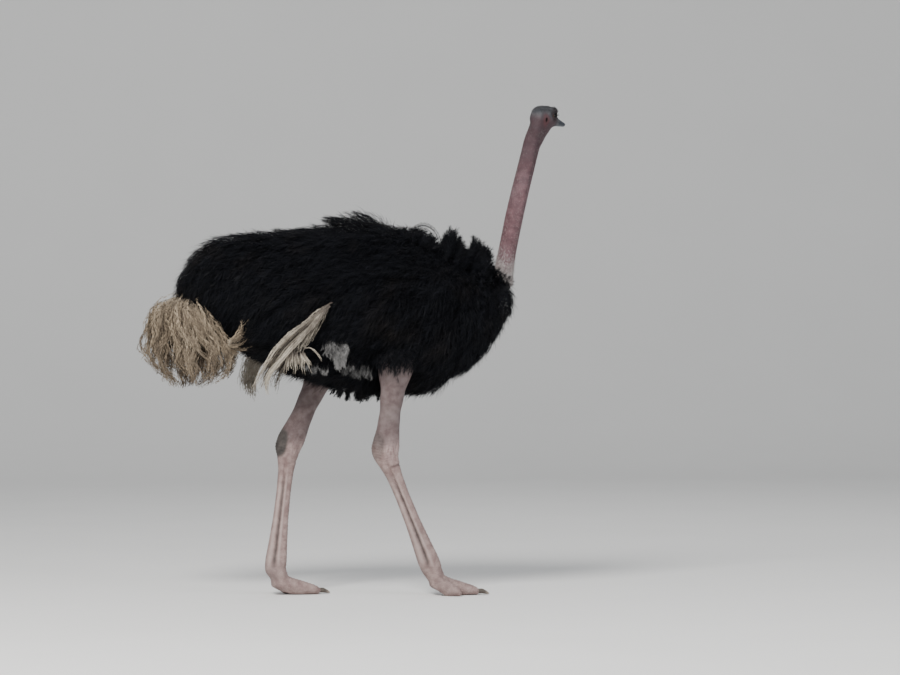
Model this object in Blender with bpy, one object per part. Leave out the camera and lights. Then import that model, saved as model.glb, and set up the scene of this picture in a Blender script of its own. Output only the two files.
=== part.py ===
"""A cock ostrich at life size, walking, as a still museum model.

The bird faces +X, its left side is +Y and +Z is up. Every shape is a loft: rings of points
carried along a smooth line through a few stations. The solids give the outline out to the
tips of the plumage. Pieces that meet are parted by a thin gap.
"""

import math

import bmesh
import bpy
from mathutils import Matrix, Vector

# ---------------------------------------------------------------- driving dimensions, metres
GAP = 0.0004            # clear space left between two pieces that meet
SOLE = 0.0              # height of the flats that the bird stands on

KNUCKLE_HEIGHT = 0.098  # of the knuckle above the soles

HEAD_TURN = math.radians(40)    # the head looks to the bird's left by this much
HEAD_DIP = math.radians(6)      # and its bill points down by this much
EYE_HEIGHT = 2.056
HEAD_CENTRE = Vector((0.899, 0.016, EYE_HEIGHT))
EYE_RADIUS = 0.0205
EYE_OUT = 0.0285                # each eye's centre from the middle of the head
BILL_REACH = 0.120              # eye to bill tip
GAPE_DROP = 0.0215              # the mouth's line below the eye
BILL_HALF_WIDTH = 0.027

BLACK = (0.012, 0.012, 0.014)
WHITE = (0.62, 0.57, 0.48)
BUFF = (0.42, 0.32, 0.22)
PINK = (0.55, 0.30, 0.27)
SHIN_PINK = (0.58, 0.36, 0.32)
CROWN_GREY = (0.33, 0.29, 0.26)
HORN = (0.30, 0.24, 0.19)
EYE_BROWN = (0.03, 0.018, 0.012)

# Stations of the feathered trunk from rump to breast: x, back, belly, half width.
TRUNK = (
    (-0.722, 1.312, 1.284, 0.020),
    (-0.690, 1.385, 1.242, 0.068),
    (-0.600, 1.500, 1.182, 0.128),
    (-0.470, 1.553, 1.085, 0.180),
    (-0.300, 1.566, 0.985, 0.228),
    (-0.100, 1.596, 0.915, 0.256),
    (0.060, 1.622, 0.874, 0.266),
    (0.230, 1.596, 0.856, 0.263),
    (0.390, 1.540, 0.864, 0.244),
    (0.530, 1.468, 0.935, 0.208),
    (0.645, 1.400, 1.054, 0.154),
    (0.722, 1.348, 1.166, 0.094),
    (0.748, 1.300, 1.240, 0.030),
)
TRUNK_EGG = 0.14        # how much narrower the back is than the belly

# Drooping tail plumes from their root down: x, height, half length, half width.
TAIL = (
    (-0.615, 1.315, 0.045, 0.050),
    (-0.640, 1.262, 0.132, 0.120),
    (-0.640, 1.185, 0.176, 0.158),
    (-0.637, 1.090, 0.200, 0.178),
    (-0.635, 1.005, 0.198, 0.172),
    (-0.640, 0.940, 0.156, 0.146),
    (-0.650, 0.900, 0.092, 0.096),
    (-0.655, 0.884, 0.030, 0.034),
)

# The folded wing's dark covering from shoulder to hind edge: x, height, half height.
WING = (
    (0.520, 1.330, 0.020),
    (0.440, 1.318, 0.085),
    (0.280, 1.285, 0.138),
    (0.080, 1.245, 0.168),
    (-0.120, 1.208, 0.172),
    (-0.290, 1.170, 0.146),
    (-0.410, 1.135, 0.092),
    (-0.455, 1.120, 0.022),
)
WING_THICKNESS = 0.046

# The pale quills that hang from the wing tip: x, height, half length, distance out, half thickness.
QUILLS = (
    (-0.062, 1.255, 0.012, 0.300, 0.014),
    (-0.118, 1.190, 0.045, 0.306, 0.034),
    (-0.186, 1.100, 0.088, 0.300, 0.040),
    (-0.222, 1.010, 0.136, 0.286, 0.042),
    (-0.226, 0.935, 0.164, 0.276, 0.036),
    (-0.264, 0.886, 0.108, 0.272, 0.022),
    (-0.282, 0.868, 0.030, 0.270, 0.010),
)

# Wind-lifted plumes on the shoulders: foot, tip, half length at the foot, half width.
RUFFS = {
    "ruff_rear": (Vector((0.400, -0.030, 1.480)), Vector((0.432, -0.036, 1.562)), 0.030, 0.070),
    "ruff_middle": (Vector((0.520, -0.060, 1.400)), Vector((0.486, -0.070, 1.583)), 0.044, 0.062),
    "ruff_front": (Vector((0.640, 0.020, 1.330)), Vector((0.600, 0.020, 1.538)), 0.046, 0.075),
}

# The neck from inside the breast to inside the skull: x, y, height, half length, half width.
NECK = (
    (0.640, 0.000, 1.255, 0.058, 0.058),
    (0.682, 0.000, 1.350, 0.054, 0.054),
    (0.713, 0.000, 1.455, 0.0440, 0.045),
    (0.741, 0.000, 1.560, 0.0410, 0.042),
    (0.770, 0.000, 1.686, 0.0395, 0.0395),
    (0.802, 0.000, 1.815, 0.0385, 0.0375),
    (0.829, 0.000, 1.925, 0.0385, 0.0365),
    (0.847, 0.001, 1.975, 0.0430, 0.0375),
    (0.866, 0.003, 2.014, 0.0440, 0.0370),
    (0.874, 0.005, 2.034, 0.0330, 0.0280),
)
NECK_SPLIT = 1.70       # height of the cut between the neck's two lengths

# The skull from nape to bill root, in the head's own frame: forward, top, bottom, half width.
SKULL = (
    (-0.081, 0.010, -0.030, 0.012),
    (-0.070, 0.027, -0.046, 0.030),
    (-0.042, 0.040, -0.057, 0.0415),
    (-0.012, 0.043, -0.055, 0.0460),
    (0.012, 0.040, -0.050, 0.0445),
    (0.032, 0.030, -0.044, 0.0370),
    (0.050, 0.014, -0.040, 0.0300),
    (0.062, 0.004, -0.037, 0.0265),
    (0.068, -0.006, -0.032, 0.0180),
)

# The closed bill from root to tip: forward, culmen, keel, share of the half width.
BILL = (
    (0.040, 0.006, -0.0370, 1.00),
    (0.062, 0.003, -0.0365, 0.99),
    (0.082, -0.004, -0.0350, 0.90),
    (0.100, -0.010, -0.0335, 0.78),
    (0.112, -0.014, -0.0325, 0.58),
    (BILL_REACH, -0.0190, -0.0290, 0.24),
)

# Half sizes of a leg by its distance from the hock: distance, fore and aft, sideways.
DRUMSTICK = (
    (0.430, 0.104, 0.086),
    (0.350, 0.074, 0.062),
    (0.270, 0.054, 0.046),
    (0.190, 0.047, 0.038),
    (0.115, 0.049, 0.037),
    (0.050, 0.058, 0.042),
    (0.012, 0.059, 0.044),
    (-0.008, 0.049, 0.037),
    (-0.024, 0.024, 0.018),
)
SHIN = (
    (-0.030, 0.036, 0.028),
    (-0.020, 0.048, 0.038),
    (0.000, 0.056, 0.043),
    (0.050, 0.045, 0.038),
    (0.105, 0.035, 0.029),
    (0.200, 0.032, 0.0245),
    (0.320, 0.0345, 0.0255),
    (0.430, 0.042, 0.031),
    (0.500, 0.048, 0.039),
    (0.540, 0.047, 0.041),
    (0.575, 0.036, 0.034),
)

# A toe along its length from the knuckle: forward, height, half height, half width.
BIG_TOE = (
    (-0.005, 0.070, 0.036, 0.030),
    (0.040, 0.050, 0.038, 0.034),
    (0.080, 0.034, 0.037, 0.037),
    (0.115, 0.027, 0.032, 0.0375),
    (0.150, 0.022, 0.027, 0.0365),
    (0.182, 0.018, 0.022, 0.032),
    (0.202, 0.015, 0.015, 0.020),
)
SMALL_TOE = (
    (0.000, 0.066, 0.028, 0.022),
    (0.035, 0.046, 0.029, 0.024),
    (0.065, 0.028, 0.031, 0.0245),
    (0.095, 0.021, 0.026, 0.0235),
    (0.115, 0.017, 0.020, 0.020),
    (0.130, 0.014, 0.012, 0.012),
)
CLAW_LENGTH = 0.052
CLAW_HALF_WIDTH = 0.0145
SMALL_TOE_SPLAY = math.radians(28)
SMALL_TOE_OUT = 0.020   # its root lies this far outside the big toe's

# Where each leg stands: knee, hock, and the way its foot points.
LEGS = {
    "right": (Vector((0.235, -0.170, 1.105)), Vector((0.181, -0.124, 0.611)),
              Vector((0.392, -0.084, KNUCKLE_HEIGHT)), math.radians(-4)),
    "left": (Vector((0.000, 0.170, 1.085)), Vector((-0.209, 0.112, 0.637)),
             Vector((-0.278, 0.022, KNUCKLE_HEIGHT)), math.radians(5)),
}


# ---------------------------------------------------------------- scene and materials
def clear_scene():
    for old in list(bpy.data.objects):
        bpy.data.objects.remove(old)


def collection(name):
    made = bpy.data.collections.new(name)
    bpy.context.scene.collection.children.link(made)
    return made


def finish(name, colour, roughness):
    """A Principled material of one colour."""
    made = bpy.data.materials.new(name)
    made.use_nodes = True
    shader = made.node_tree.nodes["Principled BSDF"]
    shader.inputs["Base Color"].default_value = (*colour, 1.0)
    shader.inputs["Roughness"].default_value = roughness
    shader.inputs["Metallic"].default_value = 0.0
    return made


# ---------------------------------------------------------------- lofts
def blend(stations, steps):
    """Points of a Catmull-Rom curve through the stations, with so many steps between two."""
    ends = [stations[0], *stations, stations[-1]]
    points = []
    for before, start, stop, after in zip(ends, ends[1:], ends[2:], ends[3:]):
        for step in range(steps):
            t = step / steps
            points.append(tuple(
                0.5 * (2 * b + (c - a) * t + (2 * a - 5 * b + 4 * c - d) * t ** 2
                       + (3 * b - a - 3 * c + d) * t ** 3)
                for a, b, c, d in zip(before, start, stop, after)))
    points.append(tuple(stations[-1]))
    return points


def oval(centre, across, up, half_across, half_up, around, egg=0.0):
    """A ring of points round centre. egg narrows its upper side."""
    ring = []
    for step in range(around):
        turn = 2 * math.pi * step / around
        width = half_across * math.cos(turn) * (1 - egg * math.sin(turn))
        ring.append(centre + across * width + up * half_up * math.sin(turn))
    return ring


def loft(name, rings, material, group):
    """A closed solid through rings of equal count, with flat end faces."""
    around = len(rings[0])
    corners = [tuple(point) for ring in rings for point in ring]
    faces = []
    for row in range(len(rings) - 1):
        for step in range(around):
            beside = (step + 1) % around
            faces.append((row * around + step, row * around + beside,
                          (row + 1) * around + beside, (row + 1) * around + step))
    last = (len(rings) - 1) * around
    faces.append(tuple(reversed(range(around))))
    faces.append(tuple(range(last, last + around)))
    mesh = bpy.data.meshes.new(name)
    mesh.from_pydata(corners, [], faces)
    in_triangles(mesh)
    face_outwards(mesh)
    made = bpy.data.objects.new(name, mesh)
    made.data.materials.append(material)
    group.objects.link(made)
    mesh.shade_smooth()
    mesh.set_sharp_from_angle(angle=math.radians(50))
    return made


def in_triangles(mesh):
    """Flat faces only, so that a Boolean's two sides agree on where a surface is."""
    shape = bmesh.new()
    shape.from_mesh(mesh)
    bmesh.ops.triangulate(shape, faces=shape.faces)
    shape.to_mesh(mesh)
    shape.free()


def signed_volume(mesh):
    mesh.calc_loop_triangles()
    return sum(mesh.vertices[t.vertices[0]].co.dot(
        mesh.vertices[t.vertices[1]].co.cross(mesh.vertices[t.vertices[2]].co))
        for t in mesh.loop_triangles)


def face_outwards(mesh):
    if signed_volume(mesh) < 0:
        mesh.flip_normals()


def limb(name, stations, around, steps, material, group, side=Vector((0, 1, 0)), floor=None):
    """A loft along a bent line. A station is x, y, z, half size ahead, half size sideways."""
    line = blend(stations, steps)
    centres = [Vector(point[:3]) for point in line]
    rings = []
    for index, point in enumerate(line):
        ahead = centres[min(index + 1, len(line) - 1)] - centres[max(index - 1, 0)]
        ahead.normalize()
        across = (side - ahead * side.dot(ahead)).normalized()
        ring = oval(centres[index], across, ahead.cross(across), point[4], point[3], around)
        if floor is not None:
            ring = [Vector((p.x, p.y, max(p.z, floor))) for p in ring]
        rings.append(ring)
    return loft(name, rings, material, group)


# ---------------------------------------------------------------- parting two solids
def grown_copy(source, group):
    """A hidden copy of a solid, larger by the gap all round."""
    graph = bpy.context.evaluated_depsgraph_get()
    mesh = bpy.data.meshes.new_from_object(source.evaluated_get(graph))
    normals = [vertex.normal.copy() for vertex in mesh.vertices]
    for vertex, normal in zip(mesh.vertices, normals):
        vertex.co += normal * GAP
    made = bpy.data.objects.new("cutter_" + source.name, mesh)
    made.matrix_world = source.matrix_world
    made.hide_render = True
    made.display_type = "WIRE"
    group.objects.link(made)
    return made


def cut(piece, cutter):
    boolean = piece.modifiers.new("clear_of_" + cutter.name, "BOOLEAN")
    boolean.operation = "DIFFERENCE"
    boolean.solver = "EXACT"
    boolean.object = cutter


# ---------------------------------------------------------------- trunk, tail and wings
def trunk_station(x):
    """Back, belly and half width of the trunk at x, read along its own curve."""
    line = blend(TRUNK, 12)
    for near, far in zip(line, line[1:]):
        if near[0] <= x <= far[0]:
            share = (x - near[0]) / max(far[0] - near[0], 1e-9)
            return [a + (b - a) * share for a, b in zip(near[1:], far[1:])]
    return list(line[0][1:]) if x < line[0][0] else list(line[-1][1:])


def trunk_side(x, z):
    """Half width of the trunk at x and height z."""
    back, belly, half = trunk_station(x)
    rise = (z - (back + belly) / 2) / max((back - belly) / 2, 1e-6)
    rise = max(-0.98, min(0.98, rise))
    return half * math.sqrt(1 - rise ** 2) * (1 - TRUNK_EGG * rise)


def make_trunk(material, group):
    rings = []
    for x, back, belly, half in blend(TRUNK, 2):
        centre = Vector((x, 0, (back + belly) / 2))
        rings.append(oval(centre, Vector((0, 1, 0)), Vector((0, 0, 1)), half,
                          (back - belly) / 2, 20, TRUNK_EGG))
    return loft("trunk", rings, material, group)


def make_tail(material, group):
    rings = []
    for x, z, half_length, half_width in blend(TAIL, 2):
        rings.append(oval(Vector((x, 0, z)), Vector((1, 0, 0)), Vector((0, 1, 0)),
                          half_length, half_width, 16))
    return loft("tail", rings, material, group)


def make_wing(side, sign, material, group):
    """A leaf-shaped swelling that follows the trunk's flank."""
    rings = []
    for x, z, half in blend(WING, 2):
        thickness = WING_THICKNESS * min(1.0, half / 0.10) + 0.004
        ring = []
        for step in range(12):
            turn = 2 * math.pi * step / 12
            height = z + half * math.sin(turn)
            out = trunk_side(x, height) + thickness * math.cos(turn)
            ring.append(Vector((x, sign * out, height)))
        rings.append(ring)
    return loft("wing_" + side, rings, material, group)


def make_quills(side, sign, material, group):
    rings = []
    for x, z, half_length, out, half_thick in blend(QUILLS, 2):
        rings.append(oval(Vector((x, sign * out, z)), Vector((1, 0, 0)), Vector((0, 1, 0)),
                          half_length, half_thick, 12))
    return loft("quills_" + side, rings, material, group)


def make_ruff(name, material, group):
    """A tuft that tapers and bends over at its tip."""
    foot, tip, half_length, half_width = RUFFS[name]
    bend = Vector((0.022, 0, 0))
    stations = []
    for share, size in ((0.0, 1.0), (0.35, 1.0), (0.65, 0.78), (0.88, 0.46), (1.0, 0.14)):
        centre = foot.lerp(tip, share) + bend * math.sin(math.pi * share)
        stations.append((*centre, half_length * size, half_width * size))
    return limb(name, stations, 10, 2, material, group)


# ---------------------------------------------------------------- neck and head
def split_neck():
    """The neck's stations for its lower and its upper length, parted at one height."""
    line = blend(NECK, 2)
    low = [p for p in line if p[2] < NECK_SPLIT - 0.02]
    high = [p for p in line if p[2] > NECK_SPLIT + 0.02]
    share = (NECK_SPLIT - low[-1][2]) / (high[0][2] - low[-1][2])
    seam = [a + (b - a) * share for a, b in zip(low[-1], high[0])]
    below, above = list(seam), list(seam)
    below[2] -= GAP / 2
    above[2] += GAP / 2
    return low + [tuple(below)], [tuple(above)] + high


def upright_limb(name, line, around, material, group):
    """A loft of level rings, for the neck, whose lengths then meet face to face."""
    rings = [oval(Vector((x, y, z)), Vector((1, 0, 0)), Vector((0, 1, 0)), half_x, half_y, around)
             for x, y, z, half_x, half_y in line]
    return loft(name, rings, material, group)


def head_frame():
    return (Matrix.Translation(HEAD_CENTRE) @ Matrix.Rotation(HEAD_TURN, 4, "Z")
            @ Matrix.Rotation(HEAD_DIP, 4, "Y"))


def make_skull(material, group):
    rings = []
    for forward, top, bottom, half in blend(SKULL, 2):
        centre = Vector((forward, 0, (top + bottom) / 2))
        rings.append(oval(centre, Vector((0, 1, 0)), Vector((0, 0, 1)), half,
                          (top - bottom) / 2, 18, 0.10))
    made = loft("head", rings, material, group)
    made.matrix_world = head_frame()
    return made


def make_bill(name, is_upper, material, group):
    """One mandible: an arch of points on one side of the mouth's line, closed by a flat."""
    rings = []
    line = -GAPE_DROP + (GAP / 2 if is_upper else -GAP / 2)
    for forward, culmen, keel, share in blend(BILL, 2):
        half = BILL_HALF_WIDTH * share * (1.0 if is_upper else 0.93)
        depth = (culmen - line) if is_upper else (keel - line)
        ring = []
        for step in range(7):
            turn = math.pi * step / 6
            ring.append(Vector((forward, half * math.cos(turn),
                                line + depth * math.sin(turn) ** 0.8)))
        ring += [Vector((forward, -half * 0.4, line)), Vector((forward, half * 0.4, line))]
        rings.append(ring)
    made = loft(name, rings, material, group)
    made.matrix_world = head_frame()
    return made


def make_eye(side, sign, material, group):
    bpy.ops.mesh.primitive_uv_sphere_add(segments=12, ring_count=8, radius=EYE_RADIUS)
    made = bpy.context.object
    made.name = "eye_" + side
    made.data.materials.append(material)
    made.data.shade_smooth()
    made.matrix_world = (head_frame() @ Matrix.Translation((0.006, sign * EYE_OUT, 0.002))
                         @ Matrix.Rotation(math.radians(90), 4, "X"))
    for old in list(made.users_collection):
        old.objects.unlink(made)
    group.objects.link(made)
    return made


def make_ear_cutter(sign, group):
    """A shallow oval hollow behind and below the eye."""
    bpy.ops.mesh.primitive_uv_sphere_add(segments=8, ring_count=6, radius=1.0)
    made = bpy.context.object
    made.name = "cutter_ear" + ("_left" if sign > 0 else "_right")
    made.matrix_world = (head_frame() @ Matrix.Translation((-0.043, sign * 0.0420, -0.022))
                         @ Matrix.Diagonal((0.0065, 0.0050, 0.0085, 1.0)))
    made.hide_render = True
    made.display_type = "WIRE"
    for old in list(made.users_collection):
        old.objects.unlink(made)
    group.objects.link(made)
    return made


# ---------------------------------------------------------------- legs and feet
def make_leg(side, skins, group):
    """The bare thigh and the shank of one leg, parted across the hock."""
    knee, hock, knuckle, _ = LEGS[side]
    up = (knee - hock).normalized()
    down = (knuckle - hock).normalized()
    upper = [(*(hock + up * d), fore, across) for d, fore, across in DRUMSTICK]
    lower = [(*(hock + down * d), fore, across) for d, fore, across in SHIN]
    thigh = limb("thigh_" + side, upper, 14, 1, skins["thigh"], group)
    shank = limb("shank_" + side, lower, 14, 1, skins["shin"], group)
    return thigh, shank


def make_toe(name, side, stations, splay, out, material, group):
    _, _, knuckle, heading = LEGS[side]
    turn = Matrix.Rotation(heading + splay, 3, "Z")
    foot = Vector((knuckle.x, knuckle.y + out, 0))
    line = [(*(foot + turn @ Vector((forward, 0, height))), half_height, half_width)
            for forward, height, half_height, half_width in stations]
    return limb(name, line, 10, 2, material, group, turn @ Vector((0, 1, 0)), SOLE)


def make_claw(side, material, group):
    """The blunt nail of the big toe."""
    _, _, knuckle, heading = LEGS[side]
    turn = Matrix.Rotation(heading, 3, "Z")
    tip_of_toe = BIG_TOE[-1][0]
    foot = Vector((knuckle.x, knuckle.y, 0))
    stations = []
    for share, height, size in ((-0.35, 0.019, 0.90), (0.1, 0.018, 1.0), (0.45, 0.0155, 0.86),
                                (0.8, 0.0095, 0.55), (1.0, 0.0050, 0.20)):
        place = foot + turn @ Vector((tip_of_toe + CLAW_LENGTH * (share - 0.25), 0, height))
        stations.append((*place, 0.0125 * size, CLAW_HALF_WIDTH * size))
    return limb("claw_" + side, stations, 10, 1, material, group, turn @ Vector((0, 1, 0)), SOLE)


# ---------------------------------------------------------------- the whole bird
def stand_on_origin(group):
    """Shifts the bird so that the origin is under the middle of its outline, at the soles."""
    bpy.context.view_layer.update()
    graph = bpy.context.evaluated_depsgraph_get()
    corners = [one.matrix_world @ vertex.co
               for one in group.objects for vertex in one.evaluated_get(graph).data.vertices]
    low = Vector([min(c[axis] for c in corners) for axis in range(3)])
    high = Vector([max(c[axis] for c in corners) for axis in range(3)])
    shift = Matrix.Translation((-(low.x + high.x) / 2, -(low.y + high.y) / 2, -low.z))
    for one in bpy.data.objects:
        one.matrix_world = shift @ one.matrix_world


def main():
    clear_scene()
    bird = collection("ostrich")
    cutters = collection("cutters")
    black = finish("black_plumage", BLACK, 0.75)
    white = finish("pale_quills", WHITE, 0.8)
    buff = finish("buff_tail_plumes", BUFF, 0.85)
    pink = finish("pink_neck_skin", PINK, 0.6)
    crown = finish("grey_head_skin", CROWN_GREY, 0.65)
    horn = finish("bill_horn", HORN, 0.45)
    claw_horn = finish("claw_horn", HORN, 0.5)
    shin = finish("leg_skin", SHIN_PINK, 0.6)
    eye_finish = finish("eye", EYE_BROWN, 0.1)

    trunk = make_trunk(black, bird)
    neck_low, neck_high = split_neck()
    neck_lower = upright_limb("neck_lower", neck_low, 16, pink, bird)
    neck_upper = upright_limb("neck_upper", neck_high, 16, pink, bird)
    head = make_skull(crown, bird)
    bpy.context.view_layer.update()

    trunk_cutter = grown_copy(trunk, cutters)
    head_cutter = grown_copy(head, cutters)
    cut(trunk, grown_copy(neck_lower, cutters))
    cut(neck_upper, head_cutter)

    bill_upper = make_bill("bill_upper", True, horn, bird)
    bill_lower = make_bill("bill_lower", False, horn, bird)
    for mandible in (bill_upper, bill_lower):
        cut(mandible, head_cutter)
    for side, sign in (("left", 1), ("right", -1)):
        eye = make_eye(side, sign, eye_finish, bird)
        bpy.context.view_layer.update()
        cut(head, grown_copy(eye, cutters))
        cut(head, make_ear_cutter(sign, cutters))

    tail = make_tail(buff, bird)
    cut(tail, trunk_cutter)
    for side, sign in (("left", 1), ("right", -1)):
        wing = make_wing(side, sign, black, bird)
        wing_cutter = grown_copy(wing, cutters)
        cut(wing, trunk_cutter)
        quills = make_quills(side, sign, white, bird)
        cut(quills, trunk_cutter)
        cut(quills, wing_cutter)
        cut(tail, wing_cutter)
    for name in RUFFS:
        ruff = make_ruff(name, black, bird)
        cut(ruff, trunk_cutter)
        cut(ruff, bpy.data.objects["cutter_neck_lower"])

    for side, sign in (("left", 1), ("right", -1)):
        thigh, shank = make_leg(side, {"thigh": pink, "shin": shin}, bird)
        bpy.context.view_layer.update()
        thigh_cutter = grown_copy(thigh, cutters)
        cut(trunk, thigh_cutter)
        cut(bpy.data.objects["wing_" + side], thigh_cutter)
        shank_cutter = grown_copy(shank, cutters)
        cut(thigh, shank_cutter)
        big_toe = make_toe("big_toe_" + side, side, BIG_TOE, 0.0, 0.0, shin, bird)
        small_toe = make_toe("small_toe_" + side, side, SMALL_TOE, sign * SMALL_TOE_SPLAY,
                             sign * SMALL_TOE_OUT, shin, bird)
        claw = make_claw(side, claw_horn, bird)
        big_toe_cutter = grown_copy(big_toe, cutters)
        for toe in (big_toe, small_toe):
            cut(toe, shank_cutter)
        cut(small_toe, big_toe_cutter)
        cut(claw, big_toe_cutter)

    stand_on_origin(bird)


main()
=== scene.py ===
"""A cock ostrich in mid-stride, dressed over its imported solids.

One skin covers the bird's flesh: trunk, wings, neck, head, legs and toes. Eyes, bill and claws are
pieces of their own. Every feather is a shaft with fine barbs down both sides, rooted on the skin,
and the feathers, down, bristles and lashes of one region are one joined mesh.
"""

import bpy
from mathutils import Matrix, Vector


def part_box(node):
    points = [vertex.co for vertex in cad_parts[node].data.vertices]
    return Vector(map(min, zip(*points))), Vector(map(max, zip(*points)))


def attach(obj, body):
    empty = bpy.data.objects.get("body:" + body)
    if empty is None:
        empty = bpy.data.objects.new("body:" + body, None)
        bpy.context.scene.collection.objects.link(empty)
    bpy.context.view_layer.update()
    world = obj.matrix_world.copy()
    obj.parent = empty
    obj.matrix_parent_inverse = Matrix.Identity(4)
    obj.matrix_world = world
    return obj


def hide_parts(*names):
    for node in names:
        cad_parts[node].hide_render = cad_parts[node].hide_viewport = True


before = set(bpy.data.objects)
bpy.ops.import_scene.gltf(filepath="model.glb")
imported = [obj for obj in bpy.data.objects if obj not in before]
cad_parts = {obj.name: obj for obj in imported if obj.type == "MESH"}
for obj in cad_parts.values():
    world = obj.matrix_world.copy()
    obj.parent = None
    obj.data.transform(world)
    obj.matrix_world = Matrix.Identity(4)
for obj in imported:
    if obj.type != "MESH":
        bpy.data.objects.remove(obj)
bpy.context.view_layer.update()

import math

import bpy
import numpy as np
from mathutils import Matrix, Vector
from mathutils.bvhtree import BVHTree

RNG = np.random.default_rng(11)
SHARE = 1.0      # how many of the feathers are made, as a share of all
LEAST_SHARE = 0.6                       # the same for small lots of feathers
SIDES = {"left": 1, "right": -1}        # each side's sign along y

# ---------------------------------------------------------------- sizes, metres
EYE_LEVEL = 1.353       # height of the camera
STAND_OFF = 16.0        # how far it stands from the point that it aims at
AIM_AHEAD = 0.400       # how far that point is ahead of the frame's origin
SWING = math.radians(-8)        # round the bird, from square to its right side
TILT = math.radians(-0.9)       # the view's rise above level
FIELD = math.radians(13.8)      # the view's width

COAT = 0.055            # depth of the plumage over the trunk
ROOT_SPACING = 0.0207   # between the roots of the body plumes
RUMP_END = -0.572       # the black plumes' rear limit over the tail, along x
BREAST = 0.5            # everything ahead of this along x is breast or neck
STEEP = 0.62            # how far upward the way out of the skin points on the back
NECK_ROOT = 1.335       # height where the plumage gives way to the bare neck
NECK_GIRTH = 0.0395     # half the bare neck's breadth near its root
NECK_AHEAD = 0.031      # how far the bare neck's root stands ahead of its solid's middle
HEAD_DIP = math.radians(6)      # how far the bill points below level
EYE_RADIUS = 0.0205     # of the lids' inner face
EYE_ACROSS = 0.0285     # each eye's centre from the middle of the head
LID_GAP = 0.0003        # how far the ball lies inside the lids' own radius
LASH_ROOT = 0.0022      # how far outside that radius a lash starts
JOINT_RISE = 0.030      # the middle of a hock or knuckle above the end of the solid that meets it
TUFT_PATCH = 0.003      # how large a feather is on the map of the skin
STRIP = np.array([[0, 1, 2], [1, 3, 2], [2, 3, 4]])     # a barb: a bent strip that ends in a point


# ---------------------------------------------------------------- small sums on arrays
def unit(way):
    return way / np.maximum(np.linalg.norm(way, axis=-1, keepdims=True), 1e-9)


def ease(value, low, high):
    """0 below low, 1 above high, and smooth between them."""
    share = np.clip((value - low) / (high - low), 0, 1)
    return share * share * (3 - 2 * share)


def bell(value, middle, width):
    return np.exp(-((value - middle) / width) ** 2)


def mix(start, stop, share):
    return start + (stop - start) * share


def across(way, out):
    """Unit vectors square to both."""
    return unit(np.cross(way, out))


def circle(count):
    return np.linspace(0, 2 * math.pi, count, endpoint=False)


def spokes(turn):
    """Level unit vectors at some turns from straight ahead."""
    return np.stack([np.cos(turn), np.sin(turn), 0 * turn], -1)


def turn_about(points, centre):
    """How far round a middle line the points lie, from straight ahead."""
    off = points - centre
    return np.arctan2(off[:, 1], off[:, 0])


def off_middle(profile, points, least=0.02):
    """How far from a profile's middle line: 1 on its surface. No half size counts as under least."""
    centre, half = profile(points[:, 2])
    off = (points - centre)[:, :2] / np.maximum(half[:, :2], least)
    return np.hypot(off[:, 0], off[:, 1])


def soften(rows):
    """Evens each row with its neighbours, apart from the ends."""
    rows[1:-1] = (rows[:-2] + 2 * rows[1:-1] + rows[2:]) / 4


def varied(spread, count):
    """Factors near 1."""
    return 1 + RNG.normal(0, spread, count)


def astray(way, spread, count):
    """Unit vectors near a way."""
    return unit(way + RNG.normal(0, spread, (count, 3)))


def some(count):
    """How many feathers of a small lot are made."""
    return int(count * max(SHARE, LEAST_SHARE))


# ---------------------------------------------------------------- sizes read off the frame
def read(items, field, width, kind=float):
    values = np.zeros(len(items) * width, kind)
    items.foreach_get(field, values)
    return values.reshape(-1, width)


def moved(points, matrix):
    matrix = np.array(matrix)
    return points @ matrix[:3, :3].T + matrix[:3, 3]


class Profile:
    """Middle and half sizes of some CAD nodes' cross-sections, anywhere along one axis."""

    def __init__(self, nodes, axis, into=Matrix.Identity(4), steps=72, rounds=1):
        edges = []
        for node in nodes:
            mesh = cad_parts[node].data
            points = moved(read(mesh.vertices, "co", 3), into)
            edges.append(points[read(mesh.edges, "vertices", 2, np.int32)])
        edges = np.concatenate(edges)
        self.start, self.stop = edges[:, :, axis].min(), edges[:, :, axis].max()
        margin = (self.stop - self.start) * 0.004
        self.levels = np.linspace(self.start + margin, self.stop - margin, steps)
        self.low, self.high = np.zeros((steps, 3)), np.zeros((steps, 3))
        for row, level in enumerate(self.levels):
            gap = edges[:, :, axis] - level
            cut = gap[:, 0] * gap[:, 1] <= 0
            share = gap[cut, 0] / np.where(gap[cut, 0] == gap[cut, 1], 1, gap[cut, 0] - gap[cut, 1])
            hits = edges[cut, 0] + (edges[cut, 1] - edges[cut, 0]) * share[:, None]
            self.low[row], self.high[row] = hits.min(0), hits.max(0)
        for _ in range(rounds):
            soften(self.low)
            soften(self.high)

    def __call__(self, level):
        """Middles and half sizes at some levels."""
        low, high = (np.stack([np.interp(level, self.levels, edge[:, axis]) for axis in range(3)], -1)
                     for edge in (self.low, self.high))
        return (low + high) / 2, (high - low) / 2


def middle_of(node):
    low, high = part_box(node)
    return (low + high) / 2


def head_place():
    """The head's own frame: its origin between the eyes, x to the bill, y to the bird's left."""
    left, right = middle_of("eye_left"), middle_of("eye_right")
    side = (left - right).normalized()
    level = side.cross(Vector((0, 0, 1)))
    ahead = level * math.cos(HEAD_DIP) - Vector((0, 0, 1)) * math.sin(HEAD_DIP)
    place = Matrix((ahead, side, ahead.cross(side))).transposed().to_4x4()
    place.translation = (left + right) / 2
    return place


def bare_neck(line):
    """The neck without its down: slim at its root, which stands over the breast's front."""
    middle, half = (line.low + line.high) / 2, (line.high - line.low) / 2
    rise = np.maximum(line.levels - NECK_ROOT, 0)
    slim = 1 - ease(rise, 0.22, 0.30)[:, None]
    half = mix(half, np.minimum(half, NECK_GIRTH), slim)
    middle[:, 0] += NECK_AHEAD * np.exp(-rise / 0.10)
    line.low, line.high = middle - half, middle + half
    return line


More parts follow.
